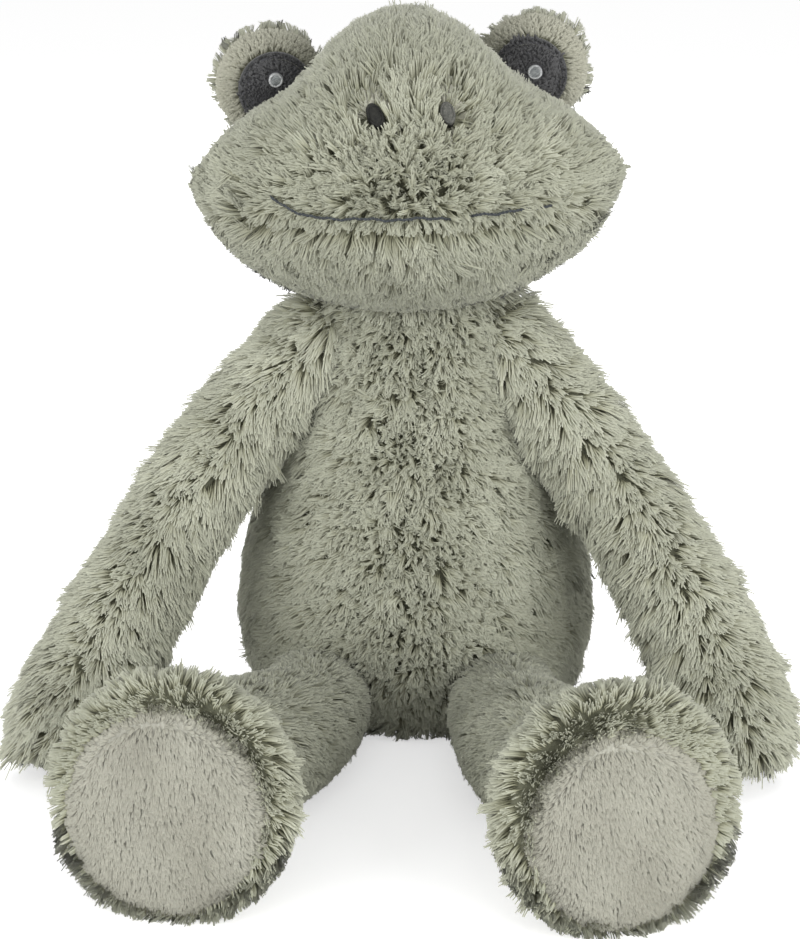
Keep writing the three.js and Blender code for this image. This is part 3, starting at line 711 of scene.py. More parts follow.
def grow_pile(name, body, grid, comb, seed, keep=None, finish="combed_long_pile", depth=None,
              tufts=None, strands=None, width=None, spread=1.05, sink=0.8, tone=0.5, wild=1.0, outward=None,
              clear=None, lowest=-1.0):
    """Grows combed tufts from a skin's grid, cut to an even depth. comb gives, for each tuft, the way it
    lies, its rise off the cloth in degrees at the root and at the tip, its share of the depth, how tightly
    its strands hold together and how far it may stray. keep chooses roots and clear chooses strands. spread
    and sink are a tuft's radius and its root's depth in millimetres, and tone is its shade, 0 to 1."""
    pile = settings("frog_pile")
    depth, strands, width = depth or pile.depth, strands or pile.strands, width or pile.width
    rng = np.random.default_rng(seed)
    root, normal = scatter(grid, (tufts or pile.tufts) / MM ** 2, rng, outward)
    if keep is not None:
        kept = keep(root, normal)
        root, normal = root[kept], normal[kept]
    total = len(root)
    way, *rules = comb(root, normal)
    rise, tip_rise, share, hold, stray = (np.broadcast_to(rule, total) for rule in rules)
    stray = wild * stray
    drift = np.stack([cloudy(root, 0.011, seed + q) for q in range(3)], 1)
    way = unit(way) + stray[:, None] * (0.1 * rng.normal(size=(total, 3)) + 0.26 * drift)
    way = unit(way - (way * normal).sum(1, keepdims=True) * normal)
    side = np.cross(normal, way)
    reach = depth * share * rng.uniform(0.9, 1.03, total) + sink * MM
    lift_wave = cloudy(root, 0.009, seed + 5)
    rise = np.radians(rise + stray * (5 * lift_wave + rng.normal(0, 4, total)))
    tip_rise = np.radians(tip_rise + stray * (8 * lift_wave + rng.normal(0, 4, total)))
    shade = tone + 0.15 * cloudy(root, 0.02, seed + 9) + 0.06 * rng.normal(size=total)

    # Each tuft's strands start round its root, lean its way and bend from its rise to its tip's
    n = total * strands
    tuft = np.repeat(np.arange(total), strands)
    turn = rng.uniform(0, 2 * np.pi, n)
    out = np.sqrt(rng.random(n))
    wide_tuft = spread * MM * (1.36 - 1.3 * hold[tuft])
    offset = (wide_tuft * out)[:, None] * (np.cos(turn)[:, None] * way[tuft] + np.sin(turn)[:, None] * side[tuft])
    own_way = unit(way[tuft] + rng.normal(0, 0.07, n)[:, None] * side[tuft])
    up = normal[tuft]
    r0 = np.clip(rise[tuft] + rng.normal(0, 0.05, n), 0.15, 1.6)
    r1 = np.clip(tip_rise[tuft] + rng.normal(0, 0.06, n), -0.1, 1.6)
    bend = np.where(np.abs(r1 - r0) < 0.03, 0.03, r1 - r0)
    lifted = (np.cos(r0) - np.cos(r0 + bend)) / bend
    own = reach[tuft] / np.maximum(lifted, 0.3) * (1 - 0.2 * hold[tuft] * out ** 2) * rng.uniform(0.94, 1.0, n)
    start = root[tuft] + offset - sink * MM * up
    roll = rng.normal(0, 0.3, n)[:, None]
    curl = 0.35 * rng.normal(size=total)[tuft] + 0.14 * rng.normal(size=n)
    curl = (stray[tuft] * curl * depth * 0.16)[:, None]
    points = np.empty((n, 5, 3))
    for q, (level, wide, bow) in enumerate(zip(BANDS, (0.0, 1.0, 0.8), (0.0, 1.0, -0.7))):
        angle = r0 + bend * level
        run = (np.sin(angle) - np.sin(r0)) / bend * own
        lift = (np.cos(r0) - np.cos(angle)) / bend * own
        middle = start + run[:, None] * own_way + lift[:, None] * up - offset * (hold[tuft] * level ** 1.2)[:, None]
        middle = middle + curl * bow * side[tuft]
        heading = np.cos(angle)[:, None] * own_way + np.sin(angle)[:, None] * up
        across = unit(np.cross(up + 1e-3 * own_way, heading))
        across = (np.cos(roll) * across + np.sin(roll) * np.cross(heading, across)) * (width * wide / 2)
        if q == 0:
            points[:, 0] = middle
        else:
            points[:, 2 * q - 1] = middle - across
            points[:, 2 * q] = middle + across
    points[..., 2] = np.maximum(points[..., 2], TIP_GROUND * MM)
    # Light falls on a tuft as on a round lock; lowest keeps locks under a form from facing the ground
    lock = unit(up + 0.7 * offset / wide_tuft[:, None] + 0.25 * own_way)
    lock = unit(lock + np.maximum(lowest - lock[:, 2:], 0) * np.array([0, -0.7, 1.2]))
    if clear is not None:
        kept = clear(points)
        points, tuft, lock = points[kept], tuft[kept], lock[kept]
    made = strand_mesh(name, points, shade[tuft] + rng.normal(0, 0.035, len(tuft)), lock, finish)
    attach(made, body)


def under_pile(name, body, grid, comb, seed, keep, tone, tufts, clear=None):
    """Shorter tufts between the standing ones, where the pile was never combed flat."""
    def short(root, normal):
        way, rise, tip, share, hold, stray = comb(root, normal)
        return way + tousle(len(way), seed), rise, tip + 8, share * 0.8, hold * 0.5, stray

    grow_pile(name, body, grid, short, seed, keep=keep, tufts=tufts, strands=6, tone=tone, clear=clear)


def comb_torso(root, normal):
    """Down from the neck and outwards over the flanks, standing up along the middle of the belly."""
    x = root[:, 0] / MM
    front = np.clip(-normal[:, 1], 0, 1)
    fan = np.clip(x / 24, -1.6, 1.6)
    way = np.stack([fan * (0.3 + 0.8 * front), 0 * x, -0.8 - 0.2 * (1 - front)], 1)
    middle = np.exp(-(x / 30) ** 2) * front
    way = unit(way) + (0.6 * middle)[:, None] * tousle(len(x), 3)
    return way, 56 + 16 * middle, 16 + 34 * middle, 1 - 0.03 * middle, 0.12 + 0.32 * middle, 1 + 1.0 * middle


def mouth_height(x):
    """How high the mouth line lies over the head's middle."""
    return MOUTH["below"] + MOUTH["rise"] * (x / MOUTH["half"]) ** 2


def on_face(x, above, sink):
    """A spot on the front of the head, sunk under the pile tips."""
    share = np.clip(np.abs(np.asarray(x, float)) / (HEAD["width"] / 2), 0, 1)
    tall, deep = head_section(share, np.asarray(above) > 0, True)
    ahead = deep * np.sqrt(np.maximum(1 - (above / tall) ** 2, 0))
    return from_head(np.stack(np.broadcast_arrays(x, sink - ahead, above), -1))


def nostril_spot(side):
    """The middle of a nostril and the way it faces, leaning a little."""
    slope = math.degrees(math.atan2(14 * HEAD["muzzle"], HEAD["crown"] ** 2))
    facing = np.array(HEAD_POSE @ (rotation((1, 0, 0), -slope) @ Vector((0, -1, 0))))
    nostril = NOSTRILS[side]
    middle = on_face(nostril["aside"], NOSTRIL_ABOVE, 0.0) - nostril["sunk"] * facing
    return Spot(middle, facing, nostril["lean"])


def off_nostrils(points):
    """Leaves out the strands that would lie over a nostril."""
    clear = np.ones(len(points), bool)
    for side, nostril in NOSTRILS.items():
        spot = nostril_spot(side)
        p = points / MM - spot.middle
        away = np.hypot(p @ spot.across / (nostril["wide"] + 0.3), p @ spot.over / (nostril["high"] + 0.3))
        clear &= ~((away < 1) & (p @ spot.facing > -2.5)).any(1)
    return clear


def comb_head(root, normal):
    """Up and outwards above the mouth, down below it, back over the crown, and parted round the nostrils."""
    x, y, z = to_head(root / MM).T
    over = z - mouth_height(x)
    below = 1 / (1 + np.exp(over / 0.5))
    fan = np.clip(x / 30, -1.8, 1.8)
    up_way = np.stack([0.8 * fan, 0.1 + 0 * x, 0.45 + 0.55 * np.clip((z + 6) / 26, 0, 1)], 1)
    down_way = np.stack([0.45 * fan, 0.1 + 0 * x, -1.0 + 0 * x], 1)
    back = np.clip((y + 4) / 14, 0, 1)[:, None]
    back_way = np.stack([0.25 * fan, 0.3 + 0 * x, -0.9 + 0 * x], 1)
    local = up_way * (1 - below[:, None]) + down_way * below[:, None]
    local = local * (1 - back) + back_way * back
    front = y < 0
    top = np.clip((normal @ HEAD_TURN)[:, 2] * 1.6 - 0.9, 0, 1)
    local = unit(local) + np.array([0, 1.1, 0]) * top[:, None]
    # The pile of the snout and of the cheeks' points was never combed flat
    snout = np.exp(-((x / 36) ** 2 + ((z + 4) / 15) ** 2)) * front
    cheek_end = np.exp(-((np.abs(x) - 70) / 11) ** 2)
    rise = 54 + 18 * np.maximum(snout, cheek_end)
    tip = 18 + 34 * np.maximum(snout, cheek_end)
    share = 1 - 0.03 * snout
    local = unit(local) + (0.7 * snout)[:, None] * tousle(len(x), 5)
    calm = np.ones(len(x))
    # Round each nostril it is short and lies away from it
    for side in SIDE_NAMES:
        flat = np.stack([x - side * 11.7, 0 * x, z - 15], 1)
        away = np.hypot(flat[:, 0], (flat[:, 2] + 1.4) / 1.7)
        near = np.clip(1.3 - np.maximum(away - 3.4, 0) / 2.2, 0, 1) * front
        local = unit(local) * (1 - near[:, None]) + (unit(flat) + np.array([0, 0, 0.25])) * near[:, None]
        steep = np.where(flat[:, 2] > 0, 66.0, 40.0)
        rise, tip = rise + near * (steep - rise), tip + near * (steep - 30 - tip)
        share = share * (1 - 0.56 * near)
        calm = calm * (1 - 0.7 * near)
    # In front of each pod it is pressed down
    pressed = np.exp(-((np.abs(x) - 37) / 13) ** 2 - ((z - 31) / 13) ** 2) * (y < 10)
    share, tip = share * (1 - 0.4 * pressed), tip - 8 * pressed
    # The mouth line lies in a furrow: the pile stands off it above and lies off it below
    upper = over > 0
    lip = np.exp(-(over / 3.4) ** 2) * front * (np.abs(x) < 50)
    local = local + np.array([0, 0, -2.2]) * (lip * upper)[:, None]
    rise = rise + (np.where(upper, 84.0, 44.0) - rise) * lip
    tip = tip + (np.where(upper, 54.0, 22.0) - tip) * lip
    calm = calm * (1 - 0.4 * np.clip((-z - 26) / 8, 0, 1) + 0.8 * snout * (1 - lip))
    return local @ HEAD_TURN.T, rise, tip, share * (1 - 0.06 * lip), 0.1 + 0.34 * snout, calm


def comb_limb(limb, side, ridge_way, rise, tip):
    """Along the limb, parted from a ridge that faces ridge_way to both sides, and standing at its end."""
    ridge = unit(np.asarray(ridge_way, float))

    def comb(root, normal):
        run = run_at(root, limb, side)
        across = unit(np.cross(run, normal))
        facing = (normal * ridge).sum(1)
        to_side = (across * ridge).sum(1) + 0.16 * cloudy(root, 0.03, 4)
        part = np.clip(to_side * -1.6, -1, 1) * np.clip(0.9 + facing, 0, 1)
        way = run * 0.8 + across * (0.95 * part)[:, None]
        crest = np.exp(-(to_side / 0.22) ** 2) * (facing > 0)
        end = np.clip((run * normal).sum(1) * 3 - 2, 0, 1)
        return (way, rise + 9 * crest + 24 * end, tip + 16 * crest + 40 * end, 1 - 0.03 * crest,
                0.12 + 0.08 * crest, 1 + 0.4 * crest)
    return comb


def comb_pod(side, rise, tip):
    """Outwards from the pod's middle in front, and back along its rim."""
    spot = pod_spot(side)

    def comb(root, normal):
        ahead, flat = spot.seen(root)
        out = unit(flat)
        front = np.clip(ahead / 8, 0, 1)[:, None]
        way = (out - spot.facing * 0.35) * front + (-spot.facing * 0.8 + out * 0.3) * (1 - front)
        way = unit(way) + 0.45 * tousle(len(ahead), 9)
        return way, rise, tip, 1 + 0.24 * np.clip(side * out[:, 0], 0, 1), 0.3, 1
    return comb


def comb_leg(side, toe):
    """Brushed back along the leg; out over the sole's edge at the lip, and forward under the rim."""
    brushed = comb_limb("leg", side, (side * 0.1, -0.35, 0.95), 58, 30)

    def comb(root, normal):
        way, rise, tip, share, _, stray = brushed(root, normal)
        ahead, flat = toe.seen(root)
        out = unit(flat)
        rim = np.clip(1 - (-ahead - 8) / 14, 0, 1) * np.clip(-normal[:, 2] * 1.6, 0, 1)
        lip = np.clip(1 - (-ahead - 4.5) / 4.5, 0, 1)
        way = -run_at(root, "leg", side) * 0.8 + 0.55 * unit(way) + 0.3 * tousle(len(root), 13)
        way = way * (1 - rim[:, None]) + (toe.facing * 0.9 + out * 0.4) * rim[:, None]
        way = way * (1 - lip[:, None]) + out * lip[:, None]
        return way, rise - 14 * lip, tip - 8 * lip, share * (1 - 0.16 * lip + 0.06 * rim), 0.13, 0.75 * stray
    return comb


# Small sewn pieces

def sew_on(piece, body, slot, *nodes):
    if nodes:
        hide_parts(*nodes)
    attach(piece, body)


def inset_disc(name, profile, spot, finish, vertices=64, stretch=1.0):
    """A crowned disc: a circle drawn up for its edge, then inset and raised ring by ring to its middle.
    profile is radius and height in millimetres from the under edge to the last ring."""
    bpy.ops.object.select_all(action="DESELECT")
    bpy.ops.mesh.primitive_circle_add(vertices=vertices, radius=profile[0][0] * MM, fill_type="NGON")
    disc = bpy.context.object
    disc.name = name
    bpy.ops.object.mode_set(mode="EDIT")
    bpy.ops.mesh.select_all(action="SELECT")
    bpy.ops.mesh.extrude_region_move(
        TRANSFORM_OT_translate={"value": (0, 0, (profile[1][1] - profile[0][1]) * MM)})
    share = math.cos(math.pi / vertices)
    for (r0, h0), (r1, h1) in zip(profile[1:], profile[2:]):
        bpy.ops.mesh.inset(thickness=(r0 - r1) * share * MM, depth=(h1 - h0) * MM, use_even_offset=True)
    bpy.ops.mesh.select_all(action="SELECT")
    bpy.ops.mesh.normals_make_consistent(inside=False)
    bpy.ops.object.mode_set(mode="OBJECT")
    lift = Matrix.Translation((0, 0, profile[0][1] * MM))
    disc.data.transform(spot.matrix() @ Matrix.Diagonal((1, stretch, 1, 1)) @ lift)
    for face in disc.data.polygons:
        face.use_smooth = True
    disc.data.materials.append(material(finish))
    disc.data.update()
    return disc


def lay_threads(name, paths, radius, finish, slot, *nodes, sides=6):
    """Closed threads on the head along paths given in millimetres, tapered where they turn under the cloth."""
    points, faces = np.empty((0, 3)), []
    across, up = (share[None, :, None] for share in polar(1, around(sides)))
    for path in paths:
        path = np.asarray(path, float)
        ahead = unit(np.gradient(path, axis=0))
        side = unit(np.cross(ahead, [0.31, 0.22, 0.92]))
        over = np.cross(side, ahead)
        size = np.full((len(path), 1, 1), radius)
        size[0] = size[-1] = radius * 0.45
        rings = path[:, None] + size * (across * side[:, None] + up * over[:, None])
        faces += tube_faces(len(points), len(path), sides)
        points = np.vstack([points, rings.reshape(-1, 3) * MM])
    sew_on(closed_mesh(name, points, faces, finish), "head", slot, *nodes)


def pod_rise(radius, grow):
    """How far the pod's front stands from its middle, at a radius from its axis."""
    share = np.clip(np.asarray(radius, float) / (POD["radius"] + grow), 0, 1) ** 1.25
    return (POD["thickness"] / 2 + grow) * np.sqrt(1 - share ** 2)


def on_pod(spot, x, y, grow, lift=0):
    """A place on the pod's front, x across and y up from its axis."""
    return spot.at(x, y, pod_rise(np.hypot(x, y), grow) + np.asarray(lift))


def chords(half_wide, half_high, slant, pitch=0.4, count=7):
    """Parallel stitches a thread's pitch apart that fill an oval, each as x, y and a share of its arch."""
    turn = math.radians(slant)
    lines = []
    reach = max(half_wide, half_high)
    t = np.linspace(-reach, reach, 160)
    for off in np.arange(-reach + pitch / 2, reach, pitch):
        x, y = t * math.cos(turn) - off * math.sin(turn), t * math.sin(turn) + off * math.cos(turn)
        inside = t[(x / half_wide) ** 2 + (y / half_high) ** 2 < 1]
        if len(inside) > 6:
            ends = np.linspace(inside[0], inside[-1], count)
            lines.append((ends * math.cos(turn) - off * math.sin(turn),
                          ends * math.sin(turn) + off * math.cos(turn), 1 - np.linspace(-1, 1, count) ** 4))
    return lines


# The operators

class FROG_OT_stage(bpy.types.Operator):
    """Sets up the floor, the soft studio light and the camera"""
    bl_idname = "frog.stage"
    bl_label = "Stage"

    def execute(self, context):
        stage = settings("frog_stage")
        scene = context.scene
        scene.view_settings.view_transform = "Standard"
        bpy.ops.object.select_all(action="DESELECT")
        bpy.ops.mesh.primitive_plane_add(size=9, location=(0, 0, 0))
        floor = context.object
        floor.name = "studio_floor"
        # A matt pale paper sweep, which the camera sees a little brighter than the light alone makes it
        made, tree = new_material("pale_paper_sweep")
        rays = node(tree, "ShaderNodeLightPath")
        matt = node(tree, "ShaderNodeBsdfDiffuse", Color=linear("#efefef"))
        glow = node(tree, "ShaderNodeEmission", {"Strength": rays.outputs["Is Camera Ray"]}, Color=linear("#c4c4c4"))
        finish_material(tree, node(tree, "ShaderNodeAddShader", {0: matt.outputs[0], 1: glow.outputs[0]}))
        floor.data.materials.append(made)
        world = bpy.data.worlds.new("studio_air")
        scene.world = world
        world.use_nodes = True
        tree = world.node_tree
        tree.nodes.clear()
        rays = node(tree, "ShaderNodeLightPath")
        mirrored = node(tree, "ShaderNodeMath",
                        {0: rays.outputs["Is Glossy Ray"], 1: rays.outputs["Is Transmission Ray"]},
                        operation="MAXIMUM")
        seen = node(tree, "ShaderNodeMath", {0: rays.outputs["Is Camera Ray"], 1: mirrored.outputs[0]},
                    operation="MAXIMUM")
        soft, white = (node(tree, "ShaderNodeBackground", Color=(1, 1, 1, 1), Strength=s) for s in (0.47, 1.0))
        mixed = node(tree, "ShaderNodeMixShader", {0: seen.outputs[0], 1: soft.outputs[0], 2: white.outputs[0]})
        node(tree, "ShaderNodeOutputWorld", {"Surface": mixed.outputs[0]})
        lamps = [("softbox_left", (-1.05, -0.9, 0.42), 1.0, 12.5), ("softbox_right", (1.05, -0.95, 0.42), 1.0, 15.5),
                 ("front_top", (0.0, -1.0, 1.15), 0.9, 3), ("back_fill", (0.0, 1.35, 0.75), 1.2, 13)]
        for name, place, size, power in lamps:
            light = bpy.data.lights.new(name, "AREA")
            light.shape, light.size, light.energy = "SQUARE", size, power
            lamp = put(name, light)
            lamp.location = place
            lamp.rotation_euler = (Vector((0, -0.05, 0.12)) - Vector(place)).to_track_quat("-Z", "Y").to_euler()
        view = bpy.data.cameras.new("photo_view")
        view.sensor_fit = "VERTICAL"
        view.sensor_height = 24
        view.lens = stage.focal_pixels * view.sensor_height / IMAGE_HEIGHT
        view.clip_end = 20
        eye = put("photo_view", view)
        eye.location = stage.camera_place
        eye.rotation_euler = Vector(stage.camera_ahead).to_track_quat("-Z", "Y").to_euler()
        scene.camera = eye
        return {"FINISHED"}


class FROG_OT_skins(bpy.types.Operator):
    """Sews and stuffs the skins of the body, head, eye pods and limbs"""
    bl_idname = "frog.skins"
    bl_label = "Stuffed skins"

    def execute(self, context):
        wall = settings("frog_pile").depth / MM
        sew_skin("torso_skin", torso_grid(wall), "torso", ["torso_cover", "torso_filling", "seat_bean_bag"])
        sew_skin("head_skin", head_grid(wall), "head", ["head_cover", "head_filling"])
        for side, name in SIDE_NAMES.items():
            sew_skin(f"{name}_eye_pod_skin", pod_grid(side, wall - 2.6, wall - 1.6), "head",
                     [f"{name}_eye_pod_cover", f"{name}_eye_pod_filling"])
            for limb, end_wall, rows, columns, fill in (("arm", LIMB_WALL, 70, 40, 0.6), ("leg", 5.8, 84, 48, 0.7)):
                sew_skin(f"{name}_{limb}_skin", limb_grid(limb, side, end_wall, rows, columns), f"{name}_{limb}",
                         [f"{name}_{limb}_cover", f"{name}_{limb}_filling"])
        return {"FINISHED"}


class FROG_OT_torso_pile(bpy.types.Operator):
    """Combs the pile of the body, in front and back panels"""
    bl_idname = "frog.torso_pile"
    bl_label = "Body pile"

    def execute(self, context):
        grid = SKINS["torso_skin"]
        panels = [(half, name) for half in ("front", "back") for name in SIDE_NAMES.values()]
        for q, (half, name) in enumerate(panels):
            def panel(root, normal):
                front, left = root[:, 1] < SEAM_BEHIND * MM, root[:, 0] >= 0
                return (front == (half == "front")) & (left == (name == "left")) & uncovered(root, "torso")

            grow_pile(f"torso_pile_{half}_{name}", "torso", grid, comb_torso, 11 + q, keep=panel, tone=0.24)

        def belly(root, normal):
            return (np.abs(root[:, 0]) < 33 * MM) & (normal[:, 1] < -0.3) & uncovered(root, "torso")

        under_pile("torso_pile_belly", "torso", grid, comb_torso, 17, belly, 0.24, 0.16)
        return {"FINISHED"}


class FROG_OT_head_pile(bpy.types.Operator):
    """Combs the pile of the head, in upper, lower and back panels"""
    bl_idname = "frog.head_pile"
    bl_label = "Head pile"

    def execute(self, context):
        grid = SKINS["head_skin"]

        def bare(root):
            x, y, z = to_head(root / MM).T
            face = y < 0
            gone = face & (np.abs(x) < 45) & (np.abs(z - mouth_height(x)) < 0.15)
            for side in SIDE_NAMES:
                gone |= face & (np.hypot((x - side * 10.7) / 2.7, (z - 14.5) / 4.2) < 1)
                ahead, flat = pod_spot(side).seen(root)
                gone |= (np.linalg.norm(flat, axis=1) < 13) & (np.abs(ahead) < 9)
            return gone

        panels = {"muzzle_left": lambda fore, z, left: fore & (z > MOUTH["below"]) & left,
                  "muzzle_right": lambda fore, z, left: fore & (z > MOUTH["below"]) & ~left,
                  "chin": lambda fore, z, left: fore & (z <= MOUTH["below"]),
                  "back": lambda fore, z, left: ~fore}
        for q, (name, panel) in enumerate(panels.items()):
            def keep(root, normal):
                x, y, z = to_head(root / MM).T
                return panel(y < HEAD_SEAM_BEHIND, z, root[:, 0] >= 0) & ~bare(root) & uncovered(root, "head")

            grow_pile(f"head_pile_{name}", "head", grid, comb_head, 31 + q, keep=keep, tone=0.1,
                      clear=off_nostrils)

        def snout(root, normal):
            x, y, z = to_head(root / MM).T
            return (y < 0) & (np.abs(x) < 36) & (z > -17) & (z < 12) & ~bare(root)

        def rim(root, normal):
            x, y, z = to_head(root / MM).T
            near = np.hypot((np.abs(x) - 10.8) / 2.2, (z - 14.6) / 3.6)
            return (y < 0) & (near > 1) & (near < 2)

        under_pile("head_pile_snout", "head", grid, comb_head, 37, snout, 0.1, 0.3, off_nostrils)
        grow_pile("head_pile_nostril_rims", "head", grid, comb_head, 38, keep=rim, finish="short_ring_pile",
                  depth=3.8 * MM, tufts=1.5, strands=6, width=0.3 * MM, spread=0.5, tone=0.6, clear=off_nostrils)
        return {"FINISHED"}


class FROG_OT_pod_pile(bpy.types.Operator):
    """Combs the ruffle of the eye pods and the short ring round each patch"""
    bl_idname = "frog.pod_pile"
    bl_label = "Eye pod pile"

    def execute(self, context):
        patch = settings("frog_face").patch_radius / MM
        for side, name in SIDE_NAMES.items():
            grid = SKINS[f"{name}_eye_pod_skin"]

            def place(root):
                ahead, flat = pod_spot(side).seen(root)
                return ahead > 0, np.linalg.norm(flat, axis=1)

            def ruffle(root, normal):
                front, away = place(root)
                return ~(front & (away < patch + 3.9)) & uncovered(root, "ruffle")

            def ring(root, normal):
                front, away = place(root)
                return front & (away > patch - 0.7) & (away < patch + 4.3) & uncovered(root, "ring")

            grow_pile(f"{name}_eye_pod_pile", "head", grid, comb_pod(side, 62, 34), 51 + side, keep=ruffle,
                      depth=4.7 * MM, tufts=0.36, strands=15, width=0.36 * MM, spread=1.5, tone=0.34)
            grow_pile(f"{name}_eye_ring_pile", "head", grid, comb_pod(side, 80, 64), 61 + side, keep=ring,
                      finish="short_ring_pile", depth=2.5 * MM, tufts=1.9, strands=7, width=0.3 * MM,
                      spread=0.6, tone=0.5, wild=0.7)
        return {"FINISHED"}


class FROG_OT_arm_pile(bpy.types.Operator):
    """Combs the pile of the arms, parted down the front"""
    bl_idname = "frog.arm_pile"
    bl_label = "Arm pile"

    def execute(self, context):
        for side, name in SIDE_NAMES.items():
            def keep(root, normal):
                shoulder = limb_line("arm", side)[1][0]
                return uncovered(root, "arm") & (normal @ shoulder > -0.6)

            grow_pile(f"{name}_arm_pile", f"{name}_arm", SKINS[f"{name}_arm_skin"],
                      comb_limb("arm", side, (side * 0.25, -0.9, 0.35), 52, 12), 71 + side,
                      keep=keep, depth=LIMB_WALL * MM, tufts=0.44, tone=0.5)
        return {"FINISHED"}


def sole_middle(side):
    return limb_line("leg", side)[0][-1] + np.array([SOLE["aside"][side], 0, -SOLE["drop"][side]])


class FROG_OT_leg_pile(bpy.types.Operator):
    """Combs the pile of the legs and the fringe round the soles"""
    bl_idname = "frog.leg_pile"
    bl_label = "Leg pile"

    def execute(self, context):
        for side, name in SIDE_NAMES.items():
            line, runs = limb_line("leg", side)
            sole = Spot(sole_middle(side), runs[-1])

            def keep(root, normal):
                ahead, flat = sole.seen(root)
                front = (ahead > -7) & (np.linalg.norm(flat, axis=1) < SOLE["radius"][side] - 2.0)
                hip = (normal @ runs[0] > -0.6) | ((root / MM - line[0]) @ runs[0] > 30)
                return ~front & hip & uncovered(root, "leg")

            grow_pile(f"{name}_leg_pile", f"{name}_leg", SKINS[f"{name}_leg_skin"],
                      comb_leg(side, Spot(line[-1], runs[-1])), 81 + side,
                      keep=keep, depth=LIMB_WALL * MM, tufts=0.39, tone=0.36, lowest=0.0)
        return {"FINISHED"}


class FROG_OT_eyes(bpy.types.Operator):
    """Sews the velour eye patches, their double stitched edge and the satin-stitched highlights"""
    bl_idname = "frog.eyes"
    bl_label = "Eyes"

    def execute(self, context):
        face = settings("frog_face")
        radius, dot = face.patch_radius / MM, face.highlight_radius / MM
        for side, name in SIDE_NAMES.items():
            spot = pod_spot(side)
            aside, above = POD["dot"][side]
            rings = np.concatenate([np.linspace(radius, radius - 1.2, 4), np.linspace(radius - 2.2, 1.5, 7)])
            tops = [0.1, 0.55, 0.85, 1.0] + [1.05] * 7
            profile = [(radius, float(pod_rise(radius, -1.2)))]
            profile += [(float(r), float(pod_rise(r, g))) for r, g in zip(rings, tops)]
            patch = inset_disc(f"{name}_eye_velour", profile, spot, "eye_velour")
            sew_on(patch, "head", "velour", f"{name}_eye_patch")
            cap = on_pod(spot, *polar(np.linspace(0.3, radius - 0.4, 14)[:, None], around(36)), 0.95) * MM

            def lay(root, normal):
                outwards = unit(root / MM - spot.middle)
                return 0.75 * spot.over - side * 0.45 * spot.across + 0.7 * outwards, 52, 24, 1, 0.3, 2.2

            def open_nap(root, normal):
                _, flat = spot.seen(root)
                off_dot = np.linalg.norm(flat - aside * spot.across - above * spot.over, axis=1) > dot + 0.1
                return off_dot & (np.abs(np.linalg.norm(flat, axis=1) - radius + 1.9) > 0.35)

            grow_pile(f"{name}_eye_nap", "head", cap, lay, 91 + side, keep=open_nap, finish="velour_nap",
                      depth=0.85 * MM, tufts=2.2, strands=6, width=0.26 * MM, spread=0.4, sink=0.1,
                      tone=0.5, outward=spot.facing)
            rng = np.random.default_rng(7 + side)
            edge, inner = [], []
            for a in around(150):
                lean, reach = rng.normal(0, 0.012), rng.uniform(0.9, 1.15)
                x, y = polar(radius + np.array([0.25, -0.1, -0.5, -reach]), a + STITCH * (0.05 + lean))
                edge.append(on_pod(spot, x, y, 0.9, [-0.6, 0.15, 0.2, -0.1]))
            for a in around(62):
                x, y = polar(radius - 1.9 + rng.normal(0, 0.05), a + STITCH * 0.092)
                inner.append(on_pod(spot, x, y, 1.2, [-0.1, 0.2, 0.2, -0.1]))
            lay_threads(f"{name}_eye_edge_stitch", edge, 0.2, "dark_rayon", "dark_thread", sides=5)
            lay_threads(f"{name}_eye_line_stitch", inner, 0.17, "slate_rayon", "dark_thread", sides=5)
            base = Spot(on_pod(spot, aside, above, 0), spot.facing)
            profile = [(dot, 0.4), (dot, 1.1), (dot * 0.8, 1.45), (dot * 0.4, 1.6)]
            pad = inset_disc(f"{name}_eye_highlight_pad", profile, base, "grey_rayon", 24)
            sew_on(pad, "head", "pale_thread", f"{name}_eye_highlight")
            satin = [base.at(x, y, 1.0 + 0.75 * arch) for x, y, arch in chords(dot * 0.94, dot * 0.94, 58)]
            lay_threads(f"{name}_eye_highlight_satin", satin, 0.21, "grey_rayon", "pale_thread")
            ring = [base.at(*polar(dot + np.array([0.2, 0, -0.35, -0.75]), a + STITCH * 0.12), [0.7, 1.5, 1.85, 1.6])
                    for a in around(40)]
            lay_threads(f"{name}_eye_highlight_edge", ring, 0.2, "pale_rayon", "pale_thread", sides=5)
        return {"FINISHED"}


class FROG_OT_nostrils(bpy.types.Operator):
    """Embroiders the two sunk nostrils"""
    bl_idname = "frog.nostrils"
    bl_label = "Nostrils"

    def execute(self, context):
        for side, name in SIDE_NAMES.items():
            spot, wide, high = nostril_spot(side), NOSTRILS[side]["wide"], NOSTRILS[side]["high"]
            profile = [(wide, -4.2), (wide, -0.5), (wide * 0.8, -0.1), (wide * 0.4, 0.05)]
            pad = inset_disc(f"{name}_nostril_pad", profile, spot, "muzzle_rayon", 32, high / wide)
            sew_on(pad, "head", "dark_thread", f"{name}_nostril")
            # Both nostrils are one black thread: the left one's paler slate thread is painted light
            finish = "muzzle_rayon" if side < 0 else "slate_rayon"
            satin = [spot.at(x, y, 0.45 * arch - 0.35) for x, y, arch in chords(wide, high, 35)]
            lay_threads(f"{name}_nostril_satin", satin, 0.23, finish, "dark_thread")
            ring = []
            for a in around(56):
                x, y = polar(np.array([1.1, 1.0, 0.88, 0.76]), a + STITCH * 0.1)
                ring.append(spot.at(wide * x, high * y, [-0.7, 0.1, 0.35, 0.1]))
            lay_threads(f"{name}_nostril_edge", ring, 0.2, finish, "dark_thread", sides=5)
        return {"FINISHED"}


